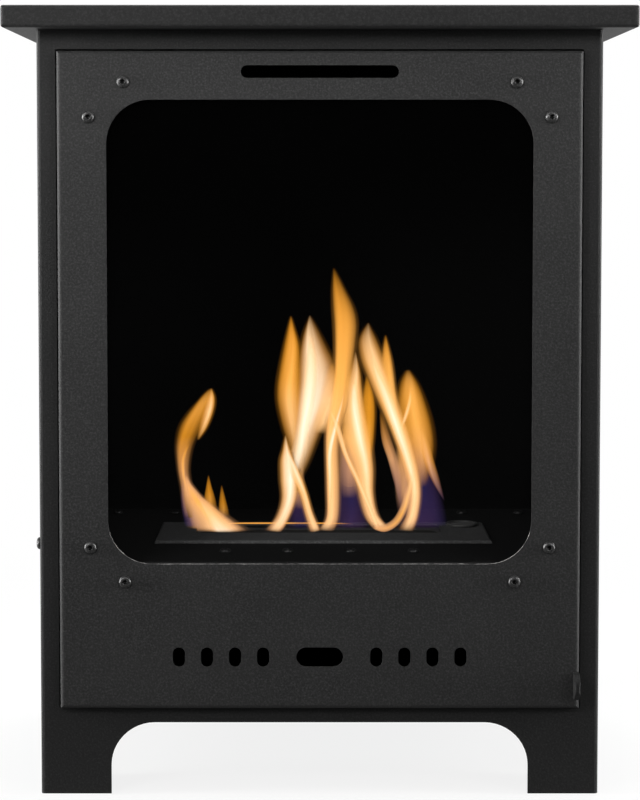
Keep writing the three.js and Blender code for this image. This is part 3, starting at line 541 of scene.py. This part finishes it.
def tape_gasket():
    """Flat tape between the door and the glass: place t runs round the window, and s round the
    section, whose width runs from the window's outline to the glass's. The section's edges are
    rounded as a superellipse's: powers of cos s across and of sin s through the tape."""
    low, high = box_of("glass_gasket")
    rows, columns = 360, 20
    along = circle(rows) / TAU
    window = rounded_outline(WINDOW_HALF_WIDTH, WINDOW_BOTTOM, WINDOW_TOP, WINDOW_CORNER)
    pane = rounded_outline(high[0], low[2], high[2], PANE_CORNER)
    pick = np.linspace(0, 1, len(window))
    inside, outside = (
        np.stack([np.interp(along, pick, outline[:, i]) for i in (0, 1)], -1)
        for outline in (window, pane)
    )
    s = circle(columns)
    across = 0.5 + 0.5 * signed_power(np.cos(s), 0.35)
    thick = signed_power(np.sin(s), 0.6)
    spot = inside[:, None] + (outside - inside)[:, None] * across[None, :, None]
    y = (low[1] + high[1]) / 2 + (high[1] - low[1]) / 2 * thick
    points = np.stack([spot[..., 0], np.broadcast_to(y, spot.shape[:2]), spot[..., 1]], -1)
    made = piece("woven_gasket", points.reshape(-1, 3),
                 sheet_of_quads(rows, columns, around_rows=True), finishes["gasket"], "door",
                 ("glass_gasket",))
    steps = np.linalg.norm(np.diff(inside, axis=0), axis=1)
    run = np.concatenate([[0], np.cumsum(steps)])
    corner = np.empty(len(made.data.loops), dtype=np.int32)
    made.data.loops.foreach_get("vertex_index", corner)
    threads = np.stack([run[corner // columns] * THREADS_ALONG,
                        across[corner % columns] * THREADS_ACROSS], -1)
    uv = made.data.uv_layers.new(name="threads")
    uv.data.foreach_set("uv", threads.astype(np.float32).ravel())


tape_gasket()


# ---------------------------------------------------------------- burner

WOOL_FILLS = np.array([0.995, 0.985, 0.94])  # share of the tank's inside that the pad takes up
TUFT_HEIGHT, TUFT_LIFT = 0.0009, 0.0004
CAP_RIM = 0.0024  # height of the cap's rim over its flange
GRIP_HALF_LENGTH = 0.0102


def wool_pad():
    """Pad of ceramic fibre: a sphere's directions pushed out to a rounded block by powers of their
    sines and cosines, with a tufted top. The tufts are a sum of sines along and across the pad,
    which fade down its sides."""
    low, high = box_of("ceramic_wool")
    middle, half = (low + high) / 2, (high - low) / 2
    rows, columns = 90, 240
    v = (np.arange(rows) + 0.5) / rows * math.pi
    v, u = np.meshgrid(v, circle(columns), indexing="ij")
    x = signed_power(np.sin(v), 0.12) * signed_power(np.cos(u), 0.16)
    y = signed_power(np.sin(v), 0.12) * signed_power(np.sin(u), 0.16)
    z = signed_power(np.cos(v), 0.25)
    tuft = (np.sin(17.3 * x + 3.1 * y) * np.sin(7.7 * y - 2.3 * x + 0.7)
            + 0.6 * np.sin(31.7 * x - 5 * y + 1.9)
            + 0.4 * np.sin(53.1 * x + 11 * y) * np.sin(19 * y)) / 2
    top = np.clip(z, 0, 1) ** 2
    points = middle + np.stack([x, y, z], -1) * half * WOOL_FILLS
    points[..., 2] += top * (TUFT_HEIGHT * tuft + TUFT_LIFT)
    points, quads = with_poles(points.reshape(-1, 3), rows, columns)
    made = piece("matted_wool", points, quads[:, ::-1], finishes["ceramic_wool"], "burner",
                 ("ceramic_wool",))


def filler_cap():
    """Turned cap: rings of a profile of (radius, height) points, and a grip bar across its dish.
    The bar is an ellipse carried along X and drawn in at both ends as (1 - t^8)^0.5."""
    low, high = box_of("filler_cap")
    middle = (low + high) / 2
    seat = [middle[0], middle[1], high[2] - CAP_RIM]
    bore = [(0.0008, 0.0), (0.0092, 0.0), (0.0098, -0.0003), (0.0098, -0.0096)]
    skirt = [(0.0101, -0.0100), (0.0107, -0.0100), (0.0110, -0.0096), (0.0110, -0.0004)]
    flange = [(0.0112, 0.0), (0.0132, 0.0), (0.0135, 0.0003), (0.0135, 0.0018)]
    rim = [(0.0132, 0.0023), (0.0127, CAP_RIM), (0.0108, CAP_RIM), (0.0104, 0.0022)]
    dish = [(0.0101, 0.0013), (0.0097, 0.0010), (0.0008, 0.0010)]
    profile = np.array(bore + skirt + flange + rim + dish)
    columns = 72
    angle = circle(columns)
    radius, height = profile[:, :1], profile[:, 1:]
    tall = np.broadcast_to(height, (len(profile), columns))
    rings = np.stack([radius * np.cos(angle), radius * np.sin(angle), tall], -1).reshape(-1, 3)
    points, quads = with_poles(rings + seat, len(profile), columns)
    rows, around = 30, 24
    t = np.linspace(-1, 1, rows)[:, None]
    s = circle(around)
    taper = (1 - t ** 8) ** 0.5 + 0.02
    lengthways = np.broadcast_to(t * GRIP_HALF_LENGTH, (rows, around))
    section = [0.0016 * np.cos(s) * taper, 0.0013 + 0.0009 * np.sin(s) * taper]
    bar = np.stack([lengthways, *section], -1).reshape(-1, 3)
    bar, bar_quads = with_poles(bar + seat, rows, around)
    piece("turned_cap", np.concatenate([points, bar]),
          np.concatenate([quads, bar_quads[:, ::-1] + len(points)]), finishes["burner_steel"],
          "filler_cap", ("filler_cap",))


wool_pad()
filler_cap()


# ---------------------------------------------------------------- fire

CREAM, PEACH, ORANGE, AMBER, TAN, EMBER, VIOLET, BLUE = (
    (1.0, 0.88, 0.68), (1.0, 0.62, 0.30), (0.90, 0.41, 0.085), (0.62, 0.235, 0.014),
    (0.74, 0.36, 0.16), (0.34, 0.13, 0.010), (0.062, 0.030, 0.092), (0.020, 0.017, 0.085),
)
PLATE_TOP = 179.2  # millimetres; no fire reaches below it
ROOT_TOP = 186  # a tongue that starts below this height burns at the mouth, another one in the air
BROAD_VEIL, BROAD_HALF_WIDTH = 0.5, 4  # a tongue past both has a fringe

# Each tongue: its depth and the points (x, z, half width) of its middle line from the root up, all
# in millimetres, how thick its veil is, how far its bright heart lies to one side (-1 to 1), and
# the colours of its edge and of its heart at the root, the middle and the tip.
Tongue = namedtuple("Tongue", "depth line veil lean edge heart")
TONGUES = {
    "fire_left": [
        Tongue(24, [(-109.8, 190.7, 3.4), (-111.7, 215.9, 4.2), (-113.9, 233.1, 4.6),
                    (-112.9, 251.8, 6.6), (-107.5, 267.4, 8.9), (-100.7, 279.9, 8.2),
                    (-94.5, 290.8, 5.2), (-91.3, 299.6, 0.8)],
               0.52, -0.3, (TAN, EMBER, AMBER), (TAN, AMBER, ORANGE)),
        Tongue(22, [(-101.8, 256.8, 1.0), (-96.8, 268.9, 3.4), (-92.7, 281.9, 4.2),
                    (-90.7, 292.0, 3.4), (-90.3, 300.6, 0.8)],
               0.55, 0.3, (AMBER, AMBER, AMBER), (ORANGE, PEACH, ORANGE)),
        Tongue(20, [(-108.0, 205.7, 1.0), (-112.7, 222.9, 1.5), (-113.9, 240.1, 1.6),
                    (-108.9, 254.8, 1.2)], 0.45, 0.0, (TAN, TAN, AMBER), (TAN, ORANGE, AMBER)),
        Tongue(22, [(-82.6, 179.6, 22.4), (-92.6, 191.2, 15.9), (-103.4, 205.3, 9.0),
                    (-109.6, 216.6, 4.0), (-112.9, 228.0, 1.2)],
               0.72, 0.25, (TAN, TAN, TAN), (PEACH, ORANGE, TAN)),
        Tongue(19, [(-76.6, 179.6, 13.4), (-84.6, 189.2, 8.9), (-93.4, 200.3, 5.0),
                    (-101.6, 210.6, 1.5)], 0.5, -0.4, (TAN, ORANGE, TAN), (CREAM, PEACH, TAN)),
        Tongue(26, [(-91.0, 195.0, 6.3), (-92.0, 207.4, 4.6), (-92.6, 217.2, 2.4),
                    (-92.9, 226.8, 0.5)],
               0.45, 0.0, (AMBER, AMBER, EMBER), (ORANGE, AMBER, EMBER)),
        Tongue(27, [(-79.8, 191.1, 5.0), (-81.0, 203.5, 3.2), (-81.9, 218.2, 0.5)],
               0.36, 0.0, (AMBER, AMBER, EMBER), (ORANGE, AMBER, EMBER)),
        Tongue(34, [(-104.5, 179.6, 8.3), (-109.9, 198.8, 6.3), (-112.3, 214.5, 4.2),
                    (-112.9, 229.9, 0.9)],
               0.45, 0.0, (BLUE, VIOLET, VIOLET), (BLUE, VIOLET, VIOLET)),
    ],
    "fire_middle_left": [
        Tongue(30, [(-15.0, 231.7, 3.7), (-20.4, 259.6, 7.8), (-24.2, 283.9, 9.6),
                    (-25.1, 299.5, 9.6), (-24.2, 316.7, 8.3), (-22.9, 335.4, 6.1),
                    (-23.2, 349.1, 3.1), (-23.5, 360.9, 0.5)],
               0.7, 0.1, (AMBER, AMBER, AMBER), (PEACH, ORANGE, AMBER)),
        Tongue(26, [(-24.0, 213.5, 4.6), (-17.0, 237.1, 8.4), (-11.3, 257.8, 10.3),
                    (-6.8, 273.4, 12.6), (-2.9, 289.0, 15.3), (-0.6, 306.2, 16.0),
                    (-1.6, 320.2, 14.3), (-4.1, 334.1, 10.6), (-6.1, 348.6, 5.9),
                    (-7.4, 361.7, 0.6)],
               0.7, -0.38, (ORANGE, AMBER, EMBER), (CREAM, CREAM, PEACH)),
        Tongue(20, [(-38.3, 179.8, 6.5), (-30.7, 191.1, 5.3), (-25.4, 206.7, 5.9),
                    (-25.0, 224.3, 7.2), (-26.6, 239.3, 5.9), (-27.4, 249.7, 3.1),
                    (-28.1, 261.2, 0.6)], 0.72, 0.15, (TAN, ORANGE, AMBER), (PEACH, CREAM, PEACH)),
        Tongue(18, [(-2.8, 179.8, 4.4), (-8.2, 194.5, 3.4), (-13.3, 212.7, 3.2),
                    (-20.4, 230.2, 4.0), (-26.0, 246.1, 2.2)],
               0.62, 0.35, (TAN, ORANGE, ORANGE), (PEACH, PEACH, CREAM)),
        Tongue(28, [(-15.4, 197.4, 9.0), (-20.4, 219.4, 8.6), (-20.0, 238.0, 7.6),
                    (-15.0, 258.7, 4.0)], 0.3, 0.1, (VIOLET, TAN, ORANGE), (TAN, ORANGE, PEACH)),
        Tongue(22, [(-22.4, 223.4, 3.6), (-15.6, 246.0, 5.2), (-12.6, 267.7, 4.8),
                    (-9.0, 286.3, 5.4), (-7.0, 306.5, 5.6), (-6.1, 326.7, 4.4),
                    (-6.3, 344.7, 1.2)], 0.6, -0.1, (PEACH, PEACH, ORANGE), (CREAM, CREAM, PEACH)),
        Tongue(27, [(0.9, 261.7, 5.7), (6.5, 274.6, 10.9), (10.0, 290.6, 11.3), (11.4, 305.5, 8.2),
                    (11.6, 321.9, 1.9)],
               0.55, -0.2, (ORANGE, ORANGE, EMBER), (PEACH, PEACH, AMBER)),
        Tongue(46, [(-96.0, 182.0, 0.4), (-70.0, 182.6, 0.7), (-40.0, 182.7, 0.8),
                    (-10.0, 182.7, 0.8), (14.0, 182.5, 0.7), (30.0, 182.1, 0.4)],
               0.6, 0.0, (AMBER, AMBER, AMBER), (ORANGE, ORANGE, AMBER)),
        Tongue(36, [(-14.8, 179.6, 12.1), (-16.1, 194.2, 10.2), (-18.0, 211.9, 7.3),
                    (-19.7, 228.5, 2.6)],
               0.22, 0.0, (VIOLET, VIOLET, VIOLET), (BLUE, VIOLET, VIOLET)),
    ],
    "fire_tall": [
        Tongue(24, [(6.2, 179.6, 6.2), (11.6, 191.4, 5.0), (12.1, 218.6, 5.4), (11.4, 251.8, 5.4),
                    (13.6, 272.1, 6.6), (17.2, 289.2, 7.5), (19.5, 306.3, 7.2), (20.9, 320.3, 7.2),
                    (22.1, 337.4, 8.0), (22.4, 354.5, 8.8), (20.5, 368.4, 8.0), (16.2, 384.9, 4.6),
                    (12.5, 401.6, 0.5)],
               0.74, -0.45, (TAN, ORANGE, AMBER), (PEACH, ORANGE, AMBER)),
        Tongue(20, [(8.8, 196.6, 1.2), (9.4, 221.4, 2.0), (9.3, 246.0, 2.4), (13.8, 268.0, 2.2),
                    (18.4, 285.0, 1.4), (22.0, 300.0, 0.6)],
               0.5, 0.0, (ORANGE, ORANGE, AMBER), (PEACH, CREAM, ORANGE)),
        Tongue(35, [(25.4, 205.7, 6.0), (26.6, 222.7, 9.2), (26.4, 240.6, 9.6), (24.1, 256.4, 7.9),
                    (21.0, 268.9, 3.6)], 0.36, 0.1, (TAN, TAN, ORANGE), (TAN, TAN, ORANGE)),
        Tongue(36, [(27.4, 179.6, 15.8), (27.4, 193.7, 14.2), (26.4, 214.6, 11.1),
                    (25.1, 234.4, 7.9), (24.0, 250.9, 2.6)],
               0.28, 0.0, (VIOLET, VIOLET, VIOLET), (VIOLET, BLUE, VIOLET)),
    ],
    "fire_middle_right": [
        Tongue(28, [(54.0, 179.6, 6.1), (44.7, 191.4, 5.6), (39.7, 210.2, 6.4), (37.1, 233.7, 8.7),
                    (31.7, 258.2, 10.8), (28.7, 281.6, 9.8), (28.9, 300.3, 7.2),
                    (30.3, 314.8, 4.4), (30.8, 331.0, 0.5)],
               0.68, 0.3, (TAN, ORANGE, AMBER), (PEACH, PEACH, PEACH)),
        Tongue(24, [(42.0, 212.2, 1.6), (39.1, 236.7, 3.0), (34.0, 260.2, 4.2), (30.3, 283.6, 4.4),
                    (29.3, 304.3, 2.4)], 0.5, 0.0, (PEACH, PEACH, ORANGE), (PEACH, CREAM, CREAM)),
        Tongue(32, [(38.6, 229.3, 3.8), (40.6, 249.3, 5.0), (41.4, 266.5, 5.4), (41.8, 282.2, 5.4),
                    (41.5, 295.1, 4.2), (40.2, 310.2, 0.6)],
               0.6, 0.2, (AMBER, AMBER, AMBER), (ORANGE, AMBER, AMBER)),
        Tongue(18, [(50.0, 181.7, 2.2), (40.6, 204.9, 2.2), (32.2, 224.6, 2.5), (22.6, 245.6, 2.5),
                    (16.0, 266.6, 2.8), (9.5, 282.5, 1.5)],
               0.5, 0.0, (TAN, ORANGE, ORANGE), (PEACH, PEACH, PEACH)),
    ],
    "fire_right": [
        Tongue(22, [(73.2, 179.9, 6.3), (78.7, 193.3, 4.9), (80.7, 211.5, 5.0), (78.4, 228.7, 5.6),
                    (73.3, 247.4, 6.3), (67.7, 264.5, 7.1), (61.9, 280.1, 7.9), (55.8, 295.7, 8.7),
                    (49.8, 311.2, 9.2), (44.4, 326.7, 9.5), (40.9, 341.7, 7.2),
                    (41.4, 355.8, 0.6)], 0.7, 0.05, (TAN, ORANGE, AMBER), (PEACH, PEACH, PEACH)),
        Tongue(19, [(80.2, 197.3, 1.4), (80.0, 218.7, 2.2), (74.1, 242.4, 3.0), (66.7, 264.5, 3.8),
                    (60.5, 282.1, 4.0), (54.0, 299.7, 3.6), (47.8, 315.2, 2.2),
                    (44.4, 327.7, 0.8)], 0.6, 0.0, (PEACH, PEACH, ORANGE), (PEACH, CREAM, PEACH)),
        Tongue(26, [(63.9, 278.1, 3.0), (60.0, 300.3, 4.2), (57.1, 322.8, 4.2),
                    (55.9, 345.1, 0.5)],
               0.55, 0.2, (ORANGE, ORANGE, AMBER), (PEACH, ORANGE, AMBER)),
        Tongue(30, [(84.2, 215.9, 6.7), (84.9, 234.2, 10.2), (83.9, 252.9, 12.6),
                    (81.2, 270.5, 12.9), (78.0, 287.5, 11.3), (76.0, 302.9, 7.6),
                    (74.7, 315.4, 1.9)], 0.56, 0.1, (AMBER, AMBER, AMBER), (TAN, ORANGE, ORANGE)),
        Tongue(21, [(66.7, 262.6, 1.0), (72.0, 274.6, 1.9), (76.0, 288.6, 1.9),
                    (77.0, 301.6, 0.8)],
               0.45, 0.0, (ORANGE, ORANGE, ORANGE), (PEACH, PEACH, ORANGE)),
        Tongue(20, [(86.3, 266.6, 1.2), (89.4, 251.8, 3.8), (92.9, 238.3, 4.2), (97.9, 224.1, 3.4),
                    (105.6, 205.5, 0.5)],
               0.5, 0.2, (ORANGE, AMBER, VIOLET), (ORANGE, TAN, VIOLET)),
        Tongue(18, [(45.8, 184.2, 1.9), (55.3, 182.9, 3.3), (64.8, 188.6, 3.4), (71.3, 200.2, 3.2),
                    (75.7, 215.2, 2.9), (80.2, 234.3, 1.9)],
               0.5, 0.2, (TAN, TAN, TAN), (TAN, ORANGE, PEACH)),
        Tongue(23, [(52.0, 281.2, 1.4), (56.7, 258.1, 4.1), (62.2, 240.5, 4.2), (66.4, 223.3, 3.8),
                    (69.7, 198.5, 0.9)], 0.4, 0.3, (AMBER, TAN, VIOLET), (AMBER, TAN, VIOLET)),
        Tongue(25, [(76.2, 191.3, 9.2), (73.2, 211.3, 8.6), (71.6, 231.5, 7.6),
                    (68.0, 251.5, 3.6)], 0.32, -0.1, (VIOLET, TAN, TAN), (TAN, TAN, ORANGE)),
        Tongue(36, [(87.8, 179.6, 21.5), (87.4, 198.5, 18.6), (84.9, 218.9, 15.1),
                    (79.7, 239.8, 11.3), (75.7, 258.4, 3.1)],
               0.27, 0.2, (BLUE, VIOLET, VIOLET), (VIOLET, BLUE, VIOLET)),
    ],
}


def smooth_line(points, count):
    """Points of a Catmull-Rom curve through the given ones, evenly spread over their numbers."""
    points = np.array(points, float)
    before, after = 2 * points[:1] - points[1:2], 2 * points[-1:] - points[-2:-1]
    padded = np.concatenate([before, points, after])
    place = np.linspace(0, len(points) - 1, count)
    start = np.minimum(place.astype(int), len(points) - 2)
    f = (place - start)[:, None]
    a, b, c, d = (padded[start + k] for k in range(4))
    return 0.5 * (2 * b + (c - a) * f + (2 * a - 5 * b + 4 * c - d) * f ** 2
                  + (3 * b - a - 3 * c + d) * f ** 3)


def tongue_points(shape, rows, columns):
    """Ellipse carried up a tongue's middle line, as wide as the line says across it and a third as
    deep. A thin tongue's width turns with its line, and a broad one's stays level."""
    path = smooth_line(shape.line, rows)
    middle, half = path[:, :2], np.maximum(path[:, 2] * 1.06, 0.25)
    run = np.gradient(middle, axis=0)
    run /= np.linalg.norm(run, axis=1, keepdims=True)
    thin = np.clip(1.6 - half / 5, 0, 1)[:, None]
    level = np.stack([np.where(run[:, 1] >= 0, 1.0, -1.0), np.zeros(rows)], -1)
    across = thin * np.stack([run[:, 1], -run[:, 0]], -1) + (1 - thin) * level
    across /= np.linalg.norm(across, axis=1, keepdims=True)
    s = circle(columns)
    spot = middle[:, None] + across[:, None] * (half[:, None] * np.cos(s))[..., None]
    y = shape.depth + np.minimum(half[:, None] / 3, 4.0) * np.sin(s)
    z = np.maximum(spot[..., 1], PLATE_TOP)
    return np.stack([spot[..., 0], y, z], -1).reshape(-1, 3) / 1000


def tongue_glow(shape, rows, columns):
    """Colours of a tongue's points. At c = cos s across it, d is how far c lies from the heart at
    lean, with the side as 1. The veil is (1 - d^1.7)^1.15, thinned by waves that run up the
    tongue, and fades at both ends. The colour goes from the heart's to the edge's as a bell curve
    of d."""
    v = np.linspace(0, 1, rows)
    c = np.cos(circle(columns))[None]
    d = np.abs(c - shape.lean) / np.where(c > shape.lean, 1 - shape.lean, 1 + shape.lean)
    first_x, first_z, _ = shape.line[0]

    def along(colours):
        """From the root's colour over the middle's to the tip's."""
        levels = zip(*colours)
        return np.stack([np.interp(v, (0.0, 0.5, 1.0), level) for level in levels], -1)

    def eased(share):
        return np.sin(np.clip(share, 0, 1) * math.pi / 2)

    phase = first_x + 7 * shape.depth
    coarse = np.sin(8.5 * c + 2.4 * np.sin(5.3 * v[:, None] + phase) + phase)
    fine = np.sin(19 * c - 3.1 * np.sin(4.1 * v[:, None] - phase))
    wave = 0.5 + 0.35 * coarse + 0.15 * fine
    near = np.exp(-((d / 0.62) ** 2))[..., None] * (0.8 + 0.2 * wave[..., None])
    colour = along(shape.edge)[:, None] * (1 - near) + along(shape.heart)[:, None] * near
    ends = eased(v / (0.10 if first_z < ROOT_TOP else 0.45)) * eased((1 - v) / 0.34)
    veil = 1.3 * shape.veil * (1 - d ** 1.7) ** 1.15 * (0.80 + 0.20 * wave)
    hides = np.minimum(veil, 0.92) * ends[:, None]
    return np.concatenate([colour, hides[..., None]], -1).reshape(-1, 4)


def tongue(shape):
    """Points, quads and colours of one closed tongue of fire; its two poles are clear."""
    rows, columns = 84, 36
    points, quads = with_poles(tongue_points(shape, rows, columns), rows, columns)
    return points, quads, np.concatenate([tongue_glow(shape, rows, columns), np.zeros((2, 4))])


def fringe(shape):
    """The faint, wider veil behind a tongue, in deeper colours."""
    wider = [(x, z, 1.16 * half + 1.1) for x, z, half in shape.line]
    deeper = [tuple(0.62 * tint for tint in colour) for colour in shape.edge]
    return Tongue(shape.depth + 2, wider, 0.34 * shape.veil, shape.lean / 2, deeper, shape.edge)


def is_broad(shape):
    return shape.veil > BROAD_VEIL and max(half for _, _, half in shape.line) > BROAD_HALF_WIDTH


vapour = burning_vapour()
for name, tongues in TONGUES.items():
    points, quads, glow, count = [], [], [], 0
    for shape in tongues + [fringe(shape) for shape in tongues if is_broad(shape)]:
        its_points, its_quads, its_glow = tongue(shape)
        points.append(its_points)
        quads.append(its_quads + count)
        glow.append(its_glow)
        count += len(its_points)
    made = piece(name, np.concatenate(points), np.concatenate(quads), vapour, "burner")
    colours = made.data.color_attributes.new("glow", "FLOAT_COLOR", "POINT")
    colours.data.foreach_set("color", np.concatenate(glow).astype(np.float32).ravel())
    made.visible_shadow = made.visible_diffuse = made.visible_glossy = False


# ---------------------------------------------------------------- floor and room

FLOOR_RADIUS = 2.2
FLOOR_DROP = 0.0005  # the floor lies this far under the feet
DIM_ROOM = 0.09  # the room's light on matt surfaces, where white is 1


def pale_floor():
    """Round floor; near the object it keeps its shadow, and further out it turns to the plain
    background. It mirrors as plain white behind the object only, because the room in front of the
    object is dark."""
    rows, columns = 24, 96
    r = np.linspace(0.02, FLOOR_RADIUS, rows)[:, None]
    a = circle(columns)
    drop = np.full((rows, columns), -FLOOR_DROP)
    points = np.stack([r * np.cos(a), r * np.sin(a), drop], -1).reshape(-1, 3)
    points, quads = with_poles(points, rows, columns)
    quads = quads[: (rows - 1) * columns + columns // 2]  # no lid over the outer ring
    finish = Finish("pale_studio_floor")
    length = finish.node("ShaderNodeVectorMath", Vector=finish.place)
    length.operation = "LENGTH"
    far = finish.ranged(length.outputs["Value"], 0.3, 1.1, at_low=0.84, at_high=1.0)
    behind = finish.ranged(finish.part(finish.place, "Y"), -0.3, 0.3, at_low=0.04, at_high=1.0)
    path = finish.node("ShaderNodeLightPath")
    seen = path.outputs["Is Camera Ray"]
    for other in ("Is Glossy Ray", "Is Transmission Ray"):
        shown = finish.maths("MULTIPLY", path.outputs[other], behind)
        seen = finish.maths("MAXIMUM", seen, shown)
    tint = finish.mixed(seen, (0.08, 0.08, 0.08), (0.82, 0.82, 0.81))
    matt = finish.node("ShaderNodeBsdfDiffuse", Color=tint)
    plain = finish.node("ShaderNodeEmission", Color=(*WHITE, 1), Strength=1.0)
    surface = finish.ends_in(finish.blend(finish.maths("MULTIPLY", far, seen), matt, plain))
    mesh = bpy.data.meshes.new("studio_floor")
    mesh.from_pydata(points.tolist(), [], quads[:, ::-1].tolist())
    mesh.materials.append(surface)
    floor = bpy.data.objects.new("studio_floor", mesh)
    bpy.context.scene.collection.objects.link(floor)


def studio_world():
    """White background. The room it stands for is dim for matt surfaces, and reflections show it
    pale behind the object and dark in front of it."""
    world = bpy.data.worlds.new("studio")
    world.use_nodes = True
    sky = Nodes(world.node_tree)
    direction = sky.node("ShaderNodeTexCoord").outputs["Generated"]
    room = sky.ranged(sky.part(direction, "Y"), -0.1, 0.6, at_low=0.10, at_high=1.0)
    path = sky.node("ShaderNodeLightPath").outputs
    reflected = sky.maths("MAXIMUM", path["Is Glossy Ray"], path["Is Transmission Ray"])
    lit = sky.level(reflected, DIM_ROOM, room)
    background = sky.tree.nodes["Background"]
    sky.feed(background.inputs["Strength"], sky.level(path["Is Camera Ray"], lit, 1.0))
    background.inputs["Color"].default_value = (*WHITE, 1)
    bpy.context.scene.world = world


pale_floor()
studio_world()


# ---------------------------------------------------------------- lamps and camera


def soft_box(name, place, target, width, height, power, spread=180):
    """Rectangular lamp that faces a point; a grid in front of it narrows its beam to a spread."""
    lamp = bpy.data.lights.new(name, "AREA")
    lamp.shape = "RECTANGLE"
    lamp.size, lamp.size_y, lamp.energy = width, height, power
    lamp.spread = math.radians(spread)
    made = bpy.data.objects.new(name, lamp)
    bpy.context.scene.collection.objects.link(made)
    made.location = place
    aim = Vector(target) - Vector(place)
    made.rotation_euler = aim.to_track_quat("-Z", "Y").to_euler()


soft_box("soft_box_left", (-0.85, -1.15, 0.92), (-0.12, -0.14, 0.58),
         width=0.5, height=0.4, power=1.8, spread=75)
soft_box("soft_box_right", (0.95, -1.15, 0.98), (0.08, -0.14, 0.66),
         width=0.5, height=0.4, power=1.4, spread=75)
soft_box("soft_box_above", (0.0, -0.9, 1.9), (0, 0, 0.6),
         width=1.4, height=0.6, power=1.9, spread=110)
soft_box("strip_left", (-1.5, -0.24, 0.45), (-0.2, -0.1, 0.36),
         width=0.2, height=1.0, power=12, spread=100)
soft_box("strip_right", (1.5, -0.24, 0.45), (0.2, -0.1, 0.36),
         width=0.2, height=1.0, power=9, spread=100)
soft_box("soft_box_behind", (0.2, 1.0, 2.1), (0, 0, 0.1), width=1.6, height=1.2, power=46)

IMAGE_HEIGHT, SENSOR = 800, 36  # pixels, and the millimetres that they stand for
FOCAL_LENGTH = 2252  # pixels
TILT = 3.5  # degrees that the camera looks down

lens = bpy.data.cameras.new("camera")
lens.lens = FOCAL_LENGTH / IMAGE_HEIGHT * SENSOR
lens.shift_x, lens.shift_y = 0.01401, -0.11700
camera = bpy.data.objects.new("camera", lens)
camera.location = (-0.00839, -1.85831, 0.48422)
camera.rotation_euler = (math.radians(90 - TILT), 0, 0)
bpy.context.scene.collection.objects.link(camera)
bpy.context.scene.camera = camera
bpy.context.scene.view_settings.view_transform = "Standard"
